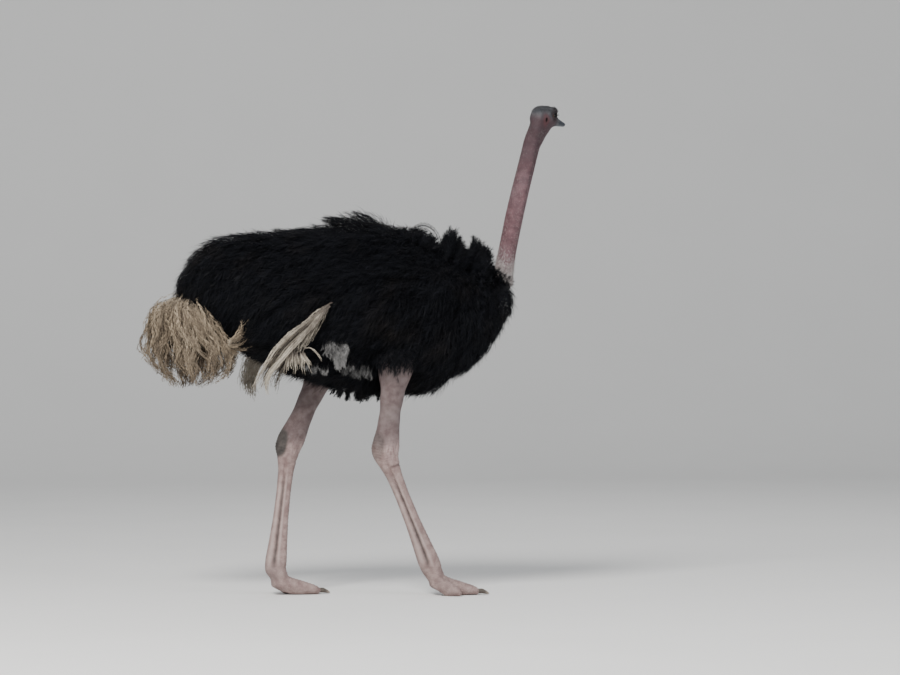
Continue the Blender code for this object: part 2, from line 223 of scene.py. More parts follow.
def above_collar(points):
    """Height above the slanted edge where plumage gives way to bare neck: higher behind."""
    ahead = np.clip(points[:, 0] - NECK(points[:, 2])[0][:, 0], -0.045, 0.045)
    return points[:, 2] - NECK_ROOT - 0.026 + 0.50 * ahead


HEAD = head_place()
TO_HEAD = HEAD.inverted()
BODY = Profile(["trunk"], 0)
NECK = bare_neck(Profile(["neck_lower", "neck_upper"], 2))
SKULL = Profile(["head"], 0, TO_HEAD)
LEG = {side: Profile(["thigh_" + side, "shank_" + side], 2) for side in SIDES}
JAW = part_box("head")[0].z
HOCK = {side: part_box("thigh_" + side)[0].z + JOINT_RISE for side in SIDES}


# ---------------------------------------------------------------- meshes from arrays
def shell(rings):
    """Points and triangles of a closed surface over rings, with a point in each end."""
    rows, around = rings.shape[:2]
    points = np.concatenate([rings.reshape(-1, 3), rings[:1].mean(1), rings[-1:].mean(1)])
    row, step = np.meshgrid(np.arange(rows - 1), np.arange(around), indexing="ij")
    beside = (step + 1) % around
    a, b = row * around + step, row * around + beside
    c, d = b + around, a + around
    step, beside = step[0], beside[0]
    last, foot = (rows - 1) * around, rows * around
    faces = np.concatenate([np.stack(corners, -1).reshape(-1, 3) for corners in (
        (a, b, c), (a, c, d), (beside, step, np.full(around, foot)),
        (last + step, last + beside, np.full(around, foot + 1)))])
    return points, facing_out(points, faces)


def facing_out(points, faces):
    """The faces of a closed surface, turned over if they look inward."""
    volume = np.einsum("ij,ij->", points[faces[:, 0]],
                       np.cross(points[faces[:, 1]], points[faces[:, 2]]))
    return faces if volume > 0 else faces[:, ::-1]


def put_marks(mesh, marks):
    """Numbers on the points, which a finish reads by name."""
    for mark, values in marks.items():
        held = mesh.attributes.new(mark, "FLOAT", "POINT")
        held.data.foreach_set("value", np.ascontiguousarray(values, np.float32))


def put_points(mesh, points):
    mesh.vertices.foreach_set("co", np.ascontiguousarray(points, np.float32).ravel())


def mesh_of(name, points, faces, uv=None, **marks):
    """A mesh of triangles. uv is each point's place on the map of the skin."""
    mesh = bpy.data.meshes.new(name)
    mesh.vertices.add(len(points))
    put_points(mesh, points)
    mesh.loops.add(faces.size)
    mesh.loops.foreach_set("vertex_index", np.ascontiguousarray(faces, np.int32).ravel())
    mesh.polygons.add(len(faces))
    mesh.polygons.foreach_set("loop_start", np.arange(0, faces.size, 3, dtype=np.int32))
    mesh.update(calc_edges=True)
    mesh.shade_smooth()
    if uv is not None:
        layer = mesh.uv_layers.new(name="OFBake")
        layer.data.foreach_set("uv", uv[faces.ravel()].astype(np.float32).ravel())
    put_marks(mesh, marks)
    return mesh


def piece(name, mesh, material, nodes=()):
    """A shown piece of the bird, and the CAD nodes that it stands for."""
    made = bpy.data.objects.new(name, mesh)
    bpy.context.scene.collection.objects.link(made)
    mesh.materials.clear()
    mesh.materials.append(material)
    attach(made, "root")
    if nodes:
        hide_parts(*nodes)
    return made


def modified(mesh, *modifiers):
    """The mesh after some modifiers, each a type and its settings."""
    worker = bpy.data.objects.new("worker", mesh)
    bpy.context.scene.collection.objects.link(worker)
    for kind, settings in modifiers:
        added = worker.modifiers.new(kind, kind)
        for name, value in settings.items():
            setattr(added, name, value)
    graph = bpy.context.evaluated_depsgraph_get()
    result = bpy.data.meshes.new_from_object(worker.evaluated_get(graph))
    bpy.data.objects.remove(worker)
    return result


def fused(shells, voxel, squeeze=None, evening=6):
    """One even skin over overlapping shells. squeeze packs a long plain stretch meanwhile."""
    counts = np.cumsum([0] + [len(points) for points, _ in shells])
    points = np.concatenate([points for points, _ in shells])
    faces = np.concatenate([faces + count for (_, faces), count in zip(shells, counts)])
    if squeeze:
        points = squeeze(points, False)
    mesh = modified(mesh_of("fused", points, faces),
                    ("REMESH", {"mode": "VOXEL", "voxel_size": voxel, "use_smooth_shade": True}),
                    ("SMOOTH", {"factor": 0.5, "iterations": evening}))
    if squeeze:
        reshape(mesh, squeeze(read(mesh.vertices, "co", 3), True))
    return mesh


def reshape(mesh, points):
    put_points(mesh, points)
    mesh.update()


def squeezer(axis, level, factor):
    """Packs what lies below a level along an axis by a factor, and back again."""
    def squeeze(points, back):
        points = points.copy()
        below = np.minimum(points[:, axis] - level, 0)
        above = np.maximum(points[:, axis] - level, 0)
        points[:, axis] = level + above + (below * factor if back else below / factor)
        return points
    return squeeze


# ---------------------------------------------------------------- the outline of trunk and wings
def triangles(mesh):
    mesh.calc_loop_triangles()
    return read(mesh.vertices, "co", 3), read(mesh.loop_triangles, "vertices", 3, np.int32)


class Outline:
    """Distance out of some CAD nodes fused into one, read off an even grid: below 0 inside."""

    def __init__(self, nodes, added):
        cell, margin = 0.028, 0.14
        shells = [triangles(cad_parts[node].data) for node in nodes] + added
        self.points, self.faces = triangles(fused(shells, 0.014, evening=4))
        tree = BVHTree.FromPolygons(self.points.tolist(), self.faces.tolist())
        self.low, self.cell = self.points.min(0) - margin, cell
        counts = np.ceil((self.points.max(0) + margin - self.low) / cell).astype(int) + 1
        grid = np.stack(np.meshgrid(*map(np.arange, counts), indexing="ij"), -1)
        places = self.low + grid.reshape(-1, 3) * cell
        self.values = np.array([self.away(tree, Vector(place)) for place in places]).reshape(counts)
        for axis in range(3):
            soften(np.moveaxis(self.values, axis, 0))

    @staticmethod
    def away(tree, place):
        hit, normal, _, distance = tree.find_nearest(place)
        return math.copysign(distance, (place - hit).dot(normal))

    def __call__(self, points):
        at = (points - self.low) / self.cell
        index = np.clip(at.astype(int), 0, np.array(self.values.shape) - 2)
        part = np.clip(at - index, 0, 1)
        total = np.zeros(len(points))
        for corner in np.ndindex(2, 2, 2):
            weight = np.prod(np.where(corner, part, 1 - part), -1)
            total += weight * self.values[tuple((index + corner).T)]
        return total

    def outward(self, points):
        """Square to the outline, away from the body."""
        moves = np.eye(3) * 0.014
        return unit(np.stack([self(points + move) - self(points - move) for move in moves], -1))

    def onto(self, points, level, rounds=10):
        """The points moved straight in or out to a distance from the outline."""
        for _ in range(rounds):
            step = np.clip(level - self(points), -0.03, 0.03)
            points = points + self.outward(points) * step[:, None]
        return points


# ---------------------------------------------------------------- shader sums
class Socket:
    """A shader socket. + - * on it add Math nodes, and node() adds any other node."""

    def __init__(self, tree, link=None):
        self.tree, self.link = tree, link

    def node(self, kind, settings=None, sockets=None, result=0):
        made = self.tree.nodes.new("ShaderNode" + kind)
        for name, value in (settings or {}).items():
            if name == "stops":
                ramp = made.color_ramp.elements
                while len(ramp) < len(value):
                    ramp.new(0.5)
                for stop, (position, colour) in zip(ramp, value):
                    stop.position, stop.color = position, (*colour, 1.0)
            else:
                setattr(made, name, value)
        for name, value in (sockets or {}).items():
            if isinstance(value, Socket):
                self.tree.links.new(value.link, made.inputs[name])
            else:
                made.inputs[name].default_value = value
        return Socket(self.tree, made.outputs[result])

    def math(self, operation, other, swapped=False):
        pair = (other, self) if swapped else (self, other)
        return self.node("Math", {"operation": operation}, dict(enumerate(pair)))

    def __add__(self, other):
        return self.math("ADD", other)

    def __radd__(self, other):
        return self.math("ADD", other, True)

    def __sub__(self, other):
        return self.math("SUBTRACT", other)

    def __rsub__(self, other):
        return self.math("SUBTRACT", other, True)

    def __mul__(self, other):
        return self.math("MULTIPLY", other)

    def __rmul__(self, other):
        return self.math("MULTIPLY", other, True)

    def clamped(self, low, high):
        """Runs from 0 at low to 1 at high."""
        return self.node("MapRange", {"clamp": True},
                         {"Value": self, "From Min": low, "From Max": high})

    def colour(self, start, stop):
        """A colour that goes from start to stop as this value goes from 0 to 1."""
        ends = [one if isinstance(one, Socket) else (*one, 1.0) for one in (start, stop)]
        return self.node("Mix", {"data_type": "RGBA"}, {0: self, 6: ends[0], 7: ends[1]}, 2)


class Finish:
    """A material under way: its Principled shader, and what is read off the surface."""

    def __init__(self, name, roughness, **constants):
        self.material = bpy.data.materials.new(name)
        self.material.use_nodes = True
        self.tree = self.material.node_tree
        self.shader = self.tree.nodes["Principled BSDF"]
        self.start = Socket(self.tree)
        self.shader.inputs["Roughness"].default_value = roughness
        for socket, value in constants.items():
            self.shader.inputs[socket.replace("_", " ")].default_value = value

    def place(self, stretch=(1, 1, 1)):
        """Where on the bird, in metres, stretched."""
        at = self.start.node("TexCoord", result=3)
        return self.start.node("Mapping", None, {"Vector": at, "Scale": stretch})

    def noise(self, scale, detail=3.0, stretch=(1, 1, 1)):
        return self.start.node("TexNoise", None, {"Vector": self.place(stretch), "Scale": scale,
                                                  "Detail": detail})

    def cells(self, scale):
        """Small scales: 0 on their seams."""
        return self.start.node("TexVoronoi", {"feature": "DISTANCE_TO_EDGE"},
                               {"Vector": self.place(), "Scale": scale})

    def mark(self, name):
        return self.start.node("Attribute", {"attribute_name": name}, result=2)

    def feed(self, socket, value):
        self.tree.links.new(value.link, self.shader.inputs[socket])

    def bump(self, height, depth):
        bumped = self.start.node("Bump", None, {"Height": height, "Distance": depth})
        self.feed("Normal", bumped)


# ---------------------------------------------------------------- finishes
def black_plume_finish():
    made = Finish("black_plumage", 0.60, Sheen_Weight=0.02, Sheen_Roughness=0.4,
                  Specular_IOR_Level=0.10)
    tone = made.mark("tone")
    lit = tone.colour((0.0010, 0.0012, 0.0020), (0.0090, 0.0098, 0.0135))
    rust = made.noise(6.0, 2.0).clamped(0.52, 0.75) * made.mark("share").clamped(0.45, 1.0)
    made.feed("Base Color", (rust * 0.5).colour(lit, (0.016, 0.012, 0.010)))
    made.feed("Roughness", 0.50 + tone * 0.25)
    return made.material


def pale_plume_finish():
    made = Finish("pale_quills", 0.72, Sheen_Weight=0.05, Sheen_Roughness=0.5,
                  Specular_IOR_Level=0.25)
    tone, share = made.mark("tone"), made.mark("share")
    cream = tone.colour((0.050, 0.040, 0.031), (0.54, 0.485, 0.40))
    grime = made.noise(26.0, 3.0).clamped(0.46, 0.70) * 0.65
    soiled = grime.colour(cream, (0.120, 0.095, 0.070))
    # Darker towards the roots: painted shade where the quills come out from under the black plumage.
    root = (1.0 - share.clamped(0.10, 0.50)) * 0.88
    made.feed("Base Color", root.colour(soiled, (0.060, 0.046, 0.041)))
    return made.material


def grey_plume_finish():
    made = Finish("grey_flank_plumes", 0.75, Sheen_Weight=0.04, Sheen_Roughness=0.5,
                  Specular_IOR_Level=0.2)
    tone = made.mark("tone")
    patchy = (tone + made.noise(24.0, 2.0) * 0.3 - 0.15) * made.mark("share").clamped(0.0, 0.40)
    grey = patchy.clamped(0.0, 1.0).colour((0.008, 0.008, 0.009), (0.30, 0.295, 0.29))
    made.feed("Base Color", grey)
    return made.material


def buff_plume_finish():
    made = Finish("buff_tail_plumes", 0.8, Sheen_Weight=0.05, Sheen_Roughness=0.5,
                  Specular_IOR_Level=0.25)
    tone, share = made.mark("tone"), made.mark("share")
    buff = tone.colour((0.055, 0.038, 0.026), (0.43, 0.345, 0.245))
    dusty = (made.noise(6.0, 3.0).clamped(0.45, 0.78) * 0.5).colour(buff, (0.36, 0.30, 0.225))
    root = (1.0 - share.clamped(0.05, 0.30)) * 0.40
    rooted = root.colour(dusty, (0.33, 0.30, 0.25))
    # Darker towards the tips, which hang lowest: painted shade over the lower part of the tail.
    made.feed("Base Color", (share.clamped(0.45, 1.0) * 0.45).colour(rooted, (0.085, 0.062, 0.043)))
    return made.material


def down_finish():
    made = Finish("pale_neck_down", 0.8, Sheen_Weight=0.05)
    made.feed("Base Color", made.mark("tone").colour((0.22, 0.18, 0.175), (0.50, 0.47, 0.455)))
    return made.material


def bristle_finish():
    made = Finish("head_bristles", 0.6, Specular_IOR_Level=0.25)
    made.feed("Base Color", made.mark("tone").colour((0.026, 0.028, 0.033), (0.150, 0.155, 0.165)))
    return made.material


def lash_finish():
    made = Finish("lashes", 0.7, Specular_IOR_Level=0.05)
    made.feed("Base Color", made.mark("tone").colour((0.006, 0.005, 0.005), (0.020, 0.016, 0.014)))
    return made.material


def skin_finish():
    """Bare skin: mauve-pink neck, grey head, pale pink legs, and black under the plumage, with painted
    shade and highlights on the legs and painted shade at the ears and eyes.
    """
    made = Finish("bird_skin", 0.6, Specular_IOR_Level=0.28)
    mottle, broad = made.noise(38.0, 4.0), made.noise(7.0, 2.0)
    scaly = made.mark("scaly")
    neck = mottle.clamped(0.35, 0.68).colour((0.085, 0.040, 0.047), (0.160, 0.086, 0.096))
    neck = (broad.clamped(0.45, 0.7) * 0.4).colour(neck, (0.135, 0.100, 0.112))
    neck = (made.mark("upper") * 0.78).colour(neck, (0.040, 0.024, 0.029))
    head = mottle.clamped(0.38, 0.65).colour((0.044, 0.047, 0.055), (0.105, 0.103, 0.108))
    thigh = mottle.clamped(0.35, 0.68).colour((0.115, 0.080, 0.079), (0.190, 0.146, 0.143))
    shank = mottle.clamped(0.35, 0.68).colour((0.23, 0.155, 0.145), (0.40, 0.300, 0.278))
    leg = scaly.colour(thigh, shank)
    leg = (broad.clamped(0.5, 0.75) * 0.4).colour(leg, (0.20, 0.165, 0.16))
    seams = (1.0 - made.cells(165.0).clamped(0.0, 0.22)) * scaly
    leg = (seams * 0.35).colour(leg, (0.13, 0.088, 0.084))
    shown = made.mark("neck").colour((0.006, 0.006, 0.007), neck)
    shown = made.mark("head").colour(shown, head)
    # Painted highlights on the shank's ridges beside the tendon's groove.
    leg = (made.mark("ridge") * 0.6).colour(leg, (0.47, 0.375, 0.35))
    shown = made.mark("leg").colour(shown, leg)
    # Painted light at the hock: lighter over its knobs as painted highlights, with dark streaks as
    # painted shade in its folds.
    folds = made.noise(150.0, 1.0, (1, 1, 0.12)).clamped(0.50, 0.62)
    hock = made.mark("hock")
    shown = (hock * 0.55).colour(shown, (0.46, 0.345, 0.330))
    shown = (hock * folds * 0.60).colour(shown, (0.150, 0.080, 0.076))
    # Painted shade in the crease under each hock.
    shown = made.mark("crease").colour(shown, (0.060, 0.034, 0.032))
    # The callus stains are a worn dark tone; the same mark paints shade along each shank's tendon groove.
    worn = mottle.clamped(0.30, 0.70).colour((0.034, 0.030, 0.028), (0.080, 0.068, 0.063))
    shown = made.mark("stain").colour(shown, worn)
    shown = (made.mark("flush") * 0.6).colour(shown, (0.090, 0.025, 0.028))
    # Near black as painted shade: in the ear openings' pits, and over the lids and lore under the brows.
    shown = made.mark("ear").colour(shown, (0.014, 0.004, 0.005))
    made.feed("Base Color", shown)
    fine = made.cells(420.0) * (1.0 - scaly) + made.cells(165.0) * 1.6 * scaly
    made.bump(fine + mottle * 0.6, 0.0016)
    return made.material


def horn_finish(name, dark, light, roughness):
    made = Finish(name, roughness, Specular_IOR_Level=0.45)
    grain = made.noise(60.0, 4.0, (1, 1, 5))
    worn = made.mark("tone") * 0.8 + grain * 0.35
    made.feed("Base Color", worn.clamped(0.1, 1.0).colour(dark, light))
    made.feed("Roughness", roughness + grain * 0.18)
    made.bump(grain, 0.0006)
    return made.material


def eye_finish():
    made = Finish("eye", 0.03, Specular_IOR_Level=0.20)
    fleck = made.noise(700.0, 3.0) * 0.05
    gaze = made.mark("gaze") + fleck - 0.025
    colour = made.start.node("ValToRGB", {"stops": (
        (0.0, (0.020, 0.012, 0.010)), (0.62, (0.045, 0.022, 0.012)), (0.80, (0.085, 0.040, 0.018)),
        (0.885, (0.030, 0.014, 0.008)), (0.90, (0.002, 0.002, 0.002)),
        (1.0, (0.002, 0.002, 0.002)))}, {"Fac": gaze})
    made.feed("Base Color", colour)
    return made.material


def floor_finish():
    made = Finish("studio_floor", 0.85)
    made.feed("Base Color", made.noise(1.5, 2.0).colour((0.80, 0.80, 0.79), (0.84, 0.84, 0.83)))
    return made.material


# ---------------------------------------------------------------- the skin's shells
def oval_rings(middles, halves, around, flat=(0, 1)):
    """Level or upright rings. flat names the two axes that a ring lies in."""
    turn = circle(around)
    rings = np.repeat(middles[:, None, :], around, 1)
    rings[:, :, flat[0]] += halves[:, None, flat[0]] * np.cos(turn)
    rings[:, :, flat[1]] += halves[:, None, flat[1]] * np.sin(turn)
    return rings


def trunk_skin(voxel):
    """Trunk and wings as one, sunk from their outline by the coat's depth."""
    points, faces = TORSO.points.copy(), TORSO.faces
    for _ in range(14):
        points -= TORSO.outward(points) * np.clip(TORSO(points) + COAT, 0, 0.006)[:, None]
    return fused([(points, faces), tail_root_shell(), neck_root_shell()], voxel)


def tail_root_shell():
    """The fleshy stump that the tail plumes grow from."""
    share = np.linspace(0, 1, 16)
    centres = np.stack([mix(BODY.start + 0.16, BODY.start + 0.045, share), share * 0,
                        mix(1.33, 1.265, share)], -1)
    halves = np.sqrt(1.02 - share ** 2)[:, None] * np.array([0, 0.062, 0.055])
    return shell(oval_rings(centres, halves, 24, (1, 2)))


def neck_root_shell():
    """The thick root of the neck, from inside the trunk to where the bare skin starts."""
    share = np.linspace(0, 1, 20)[:, None]
    stop, half = NECK(NECK_ROOT)
    start = stop + np.array([-0.120, 0, -0.210])
    centres = mix(start, stop, share)
    halves = half * (1 + 0.45 * (1 - share) ** 1.5) - 0.002
    return shell(oval_rings(centres, halves, 48))


def collar_shells():
    """How the plumage itself stands round the neck's root, and the ridge behind it."""
    rings = np.array([(0.530, 0.100, 1.14), (0.560, 0.106, 1.21), (0.588, 0.081, 1.27),
                      (0.606, 0.064, 1.31), (0.616, 0.056, 1.34), (0.632, 0.047, 1.40)])
    middles = np.stack([rings[:, 0], 0 * rings[:, 0], rings[:, 2]], -1)
    foot = shell(oval_rings(middles, np.repeat(rings[:, 1:2], 3, 1), 48))
    share = np.linspace(0, 1, 20)[:, None]
    centres = mix(np.array([0.35, -0.01, 1.34]), np.array([0.61, 0, 1.320]), share)
    halves = mix(np.array([0, 0.110, 0.105]), np.array([0, 0.058, 0.064]), share)
    ridge = shell(oval_rings(centres, halves * np.sqrt(np.clip(share / 0.2, 0.05, 1)), 32, (1, 2)))
    return [foot, ridge]


def neck_shell():
    """The neck, with a rounded end inside the skull."""
    levels = np.linspace(NECK.start + 0.03, JAW - 0.008, 120)
    centres, halves = NECK(levels)
    nape = HEAD @ Vector((-0.034, 0, -0.008))
    share = np.linspace(0, 1, 9)[1:, None]
    centres = np.concatenate([centres, mix(centres[-1], np.array(nape), share)])
    halves = np.concatenate([halves, halves[-1] * np.sqrt(1 - 0.72 * share ** 2)])
    return shell(oval_rings(centres, halves - 0.001, 64))


def throat_shell():
    """The slope from under the jaw down to the front of the neck."""
    start, half = NECK(JAW - 0.092)
    stop = np.array(HEAD @ Vector((0.040, 0, -0.0255)))
    share = np.linspace(0, 1, 28)[:, None]
    centres = mix(start, stop, share) - np.array([0.004, 0.001, 0]) * np.sin(share * math.pi)
    halves = mix(half * 0.90, np.array([0.012, 0.013, 0.0]), share ** 1.15)
    return shell(oval_rings(centres, halves, 40))


def skull_shell():
    """The head: round below, and square-shouldered above, where the brows stand out."""
    levels = np.linspace(SKULL.start + 0.0006, SKULL.stop - 0.0006, 70)
    centres, halves = SKULL(levels)
    turn = circle(72)
    c, s = np.cos(turn)[None, :], np.sin(turn)[None, :]
    square = mix(1.0, 0.70, ease(s, -0.1, 0.4) * bell(levels[:, None], -0.018, 0.045))
    beside = (halves[:, 1:2] - 0.0012) * np.sign(c) * np.abs(c) ** square * (1 - 0.08 * s)
    up = centres[:, 2:] + (halves[:, 2:] - 0.0012) * np.sign(s) * np.abs(s) ** square
    rings = np.stack([np.broadcast_to(levels[:, None], up.shape), beside, up], -1)
    points, faces = shell(rings)
    return moved(points, HEAD), faces


def head_fillings():
    """The ridge over each eye, the throat under the jaw, and the nape behind the skull."""
    shells = [ball_shell((0.000, 0.0310 * sign, 0.0200), (0.024, 0.0155, 0.0170))
              for sign in SIDES.values()]
    shells += [ball_shell((-0.012, 0, -0.050), (0.030, 0.025, 0.028)),
               ball_shell((-0.059, 0, -0.056), (0.035, 0.028, 0.052))]
    return [(moved(points, HEAD), faces) for points, faces in shells]


def ball_shell(centre, halves):
    """An ellipsoid, to fill a joint."""
    lean = np.linspace(0.12, math.pi - 0.12, 20)[:, None]
    centres = np.array(centre) - np.cos(lean) * np.array([0, 0, halves[2]])
    return shell(oval_rings(centres, np.sin(lean) * np.array([halves[0], halves[1], 0]), 32))


def leg_shells(side):
    """Thigh and shank in one, the joint's filling under them, and the two toes."""
    leg = LEG[side]
    centres, halves = leg(np.linspace(leg.start + 0.004, leg.stop - 0.004, 160))
    shells = [shell(oval_rings(centres, np.maximum(halves - 0.0006, 0.004), 56))]
    knuckle, girth = leg(leg.start + 0.034)
    forward = np.array([0.013, 0, -0.012])
    shells.append(ball_shell(knuckle + forward, (0.041, max(girth[1], 0.033), 0.036)))
    toe_root, _ = Profile(["big_toe_" + side], 0)(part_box("big_toe_" + side)[0].x + 0.045)
    shells.append(ball_shell((knuckle + forward) * 0.35 + toe_root * 0.65, (0.040, 0.031, 0.030)))
    for toe in ("big_toe_", "small_toe_"):
        line = Profile([toe + side], 0, steps=40)
        share = np.linspace(0, 1, 60)[:, None]
        centres, halves = line(np.linspace(line.start + 0.003, line.stop - 0.002, 60))
        swell = 1 + 0.05 * np.sin(share * 13) - 0.10 * ease(share, 0.80, 1.0)
        swell = swell * np.sqrt(1.02 - ease(share, 0.90, 1.0) ** 2 * 0.80)
        centres[:, 2:] -= halves[:, 2:] * 0.20 * ease(share, 0.80, 1.0)
        rings = oval_rings(centres, halves * swell - 0.0006, 40, (1, 2))
        rings[:, :, 2] = np.maximum(rings[:, :, 2], 0.0004)
        shells.append(shell(rings))
    return shells


TORSO = Outline(["trunk", "wing_left", "wing_right"], collar_shells())


# ---------------------------------------------------------------- the skin's own shapes
def ear_distance(at):
    """Distance from the ear's middle, in the head's frame, over an upright oval."""
    return np.hypot((at[:, 0] + 0.047) * 1.25 + (at[:, 2] + 0.024) * 0.25, (at[:, 2] + 0.024) * 0.72)


def head_sculpt(points, normals):
    """Moves skin near the head: eye sockets, brows, ears, jaw, the flat crown and its folds."""
    at = moved(points, TO_HEAD)
    ahead, side, up = at[:, 0], np.abs(at[:, 1]), at[:, 2]
    flank = ease(side, 0.010, 0.026)
    eye = np.hypot(ahead, up * 1.15)
    lift = -0.0052 * np.exp(-(eye / 0.0155) ** 4) * flank
    lift += 0.0036 * bell(up, 0.0200, 0.0055) * bell(ahead, 0.001, 0.020) * flank
    lift += 0.0016 * bell(up, -0.0185, 0.0045) * bell(ahead, 0.000, 0.017) * flank
    lift += 0.0055 * ease(-ahead, 0.050, 0.085) * bell(up, -0.030, 0.026)
    lift += 0.0022 * bell(np.hypot(ahead + 0.022, up + 0.020), 0, 0.013) * flank
    ear = ear_distance(at)
    lift += (-0.0060 * np.exp(-(ear / 0.0052) ** 4) + 0.0016 * bell(ear, 0.0082, 0.0022)) * flank
    gape = up + 0.0225 + ease(ahead, 0.0, 0.045) * 0.001
    lift += -0.0024 * bell(gape, 0, 0.0017) * ease(ahead, 0.008, 0.020) * flank
    lift += 0.0012 * bell(gape - 0.0045, 0, 0.0028) * ease(ahead, 0.010, 0.024) * flank
    lift += -0.0018 * bell(up - 0.30 * (ahead - 0.03), 0.001, 0.004) * ease(ahead, 0.022, 0.034) * flank
    lift += 0.00060 * np.sin(eye * 1500) * bell(eye, 0.0235, 0.0055) * flank
    crown = ease(up, 0.024, 0.034) * (side < 0.032)
    lift += -0.0012 * crown * bell(side, 0.0, 0.006)
    within = ease(-np.linalg.norm(at, axis=1), -0.105, -0.085)
    return points + normals * (lift * within)[:, None]


def neck_sculpt(points, normals):
    """Loose folds across the neck, a gullet line in front, and pits where down grows."""
    height = points[:, 2]
    turn = turn_about(points, NECK(height)[0])
    bare = ease(height, 1.36, 1.42) * ease(-height, -2.015, -1.985)
    wander = 0.7 * np.sin(turn * 2 + height * 9) + 0.5 * np.sin(turn * 3 - height * 17)
    folds = np.sin(height * 520 + wander * 2.2) * (0.55 + 0.45 * np.sin(height * 61 + turn * 2))
    lift = 0.00042 * folds - 0.0007 * (np.sin(height * 190 + wander) > 0.93)
    lift += 0.0016 * bell(np.abs(turn), 0.0, 0.34) - 0.0014 * bell(np.abs(turn), 0.62, 0.16)
    lift += 0.0010 * np.sin(turn * 5 + height * 11) * ease(-height, -1.99, -1.90)
    return points + normals * (lift * bare)[:, None]


def crease_height(hock, turn):
    """Where the one deep fold under a hock runs: lower towards the back of the leg."""
    return hock - 0.088 + 0.012 * np.cos(turn)


def leg_sculpt(side):
    """The bare leg's shapes: scutes, the tendon's groove, the hock's knobs and the heel pad."""
    hock, knuckle = HOCK[side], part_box("shank_" + side)[0].z + JOINT_RISE

    def sculpt(points, normals):
        height = points[:, 2]
        centre = LEG[side](np.maximum(height, knuckle))[0]
        turn = np.abs(turn_about(points, centre))
        shank = ease(height, knuckle + 0.02, knuckle + 0.08) * ease(-height, 0.05 - hock, 0.10 - hock)
        front = ease(-turn, -0.95, -0.60)
        row = height / 0.0165 + 0.25 * np.sin(turn * 3)
        scutes = 0.0016 * (row % 1.0) - 0.0015 * bell(row % 1.0, 0.0, 0.09) - 0.0006
        reach = ease(-height, -hock - 0.02, 0.0 - hock) * ease(height, knuckle - 0.03, knuckle)
        lift = scutes * front * reach
        lift += -0.0085 * bell(turn, 1.86, 0.20) * shank + 0.0026 * bell(turn, 2.50, 0.34) * shank
        lift += -0.0016 * bell(turn, 1.05, 0.18) * shank
        knob = bell(height, hock, 0.040)
        lift += 0.0055 * knob * bell(turn, 1.45, 0.38) - 0.0036 * knob * bell(turn, 0.62, 0.20)
        lift += -0.0034 * knob * bell(turn, 2.20, 0.18)
        lift += 0.0055 * bell(height, hock - 0.010, 0.042) * bell(turn, math.pi, 0.50)
        wrinkle = np.sin(height * 520 + np.sin(turn * 4) * 1.8) + 0.7 * np.sin(turn * 17 + height * 90)
        lift += 0.0010 * wrinkle * bell(height, hock, 0.060)
        lift += -0.0024 * bell(height, crease_height(hock, turn), 0.0060) * ease(-turn, -2.0, -1.3)
        lift += 0.0022 * np.sin(height * 62 + turn * 2) * ease(height, hock + 0.06, hock + 0.16) * 0.5
        toes = ease(-height, -knuckle, 0.02 - knuckle) * ease(normals[:, 2], 0.25, 0.7)
        along = points[:, 0] / 0.0140 + 0.25 * np.cos((points[:, 1] - centre[:, 1]) * 60)
        lift += (0.0022 * (along % 1.0) - 0.0020 * bell(along % 1.0, 0.0, 0.10)) * toes
        return points + normals * lift[:, None]
    return sculpt


def surface(mesh):
    """A mesh's points, and the unit vectors out of it there."""
    return read(mesh.vertices, "co", 3), read(mesh.vertex_normals, "vector", 3)


def sculpted(mesh, sculpt):
    """The mesh with its points moved by sculpt(points, normals)."""
    reshape(mesh, sculpt(*surface(mesh)))
    return mesh


def eyelid_shell(side):
    """Both lids of one eye as a rim round an almond opening, hugging the ball."""
    around, section = 96, 12
    turn, loop = circle(around)[:, None], circle(section)[None, :]
    out = (1 - np.cos(loop)) / 2
    upper = ease(np.sin(turn), -0.1, 0.5)
    reach_x = mix(0.0132, 0.0205, out)
    reach_z = mix(0.0088 + 0.0006 * upper, 0.0165, out)
    ahead = reach_x * np.cos(turn)
    up = reach_z * np.sin(turn) * (1 - 0.16 * np.cos(turn) ** 2) + 0.0006 * np.cos(turn)
    thick = (0.0004 + (0.0021 + 0.0010 * upper) * (np.sin(loop) > 0) * np.sin(loop)
             - 0.0035 * (np.sin(loop) < 0) * np.abs(np.sin(loop)) - 0.0022 * out)
    ripple = 0.00035 * np.sin(out * 15) * (np.sin(loop) > 0)
    radius = EYE_RADIUS + thick + ripple
    flat = np.minimum(ahead ** 2 + up ** 2, (radius * 0.93) ** 2)
    beside = np.sqrt(radius ** 2 - flat)
    rings = np.stack([ahead, SIDES[side] * (EYE_ACROSS + beside), up], -1)
    row, step = np.meshgrid(np.arange(around) * section, np.arange(section), indexing="ij")
    next_row, next_step = (row + section) % (around * section), (step + 1) % section
    a, b, c, d = row + step, row + next_step, next_row + next_step, next_row + step
    faces = np.concatenate([np.stack(corners, -1).reshape(-1, 3) for corners in ((a, b, c), (a, c, d))])
    points = moved(rings.reshape(-1, 3), HEAD)
    return points, facing_out(points - points.mean(0), faces)


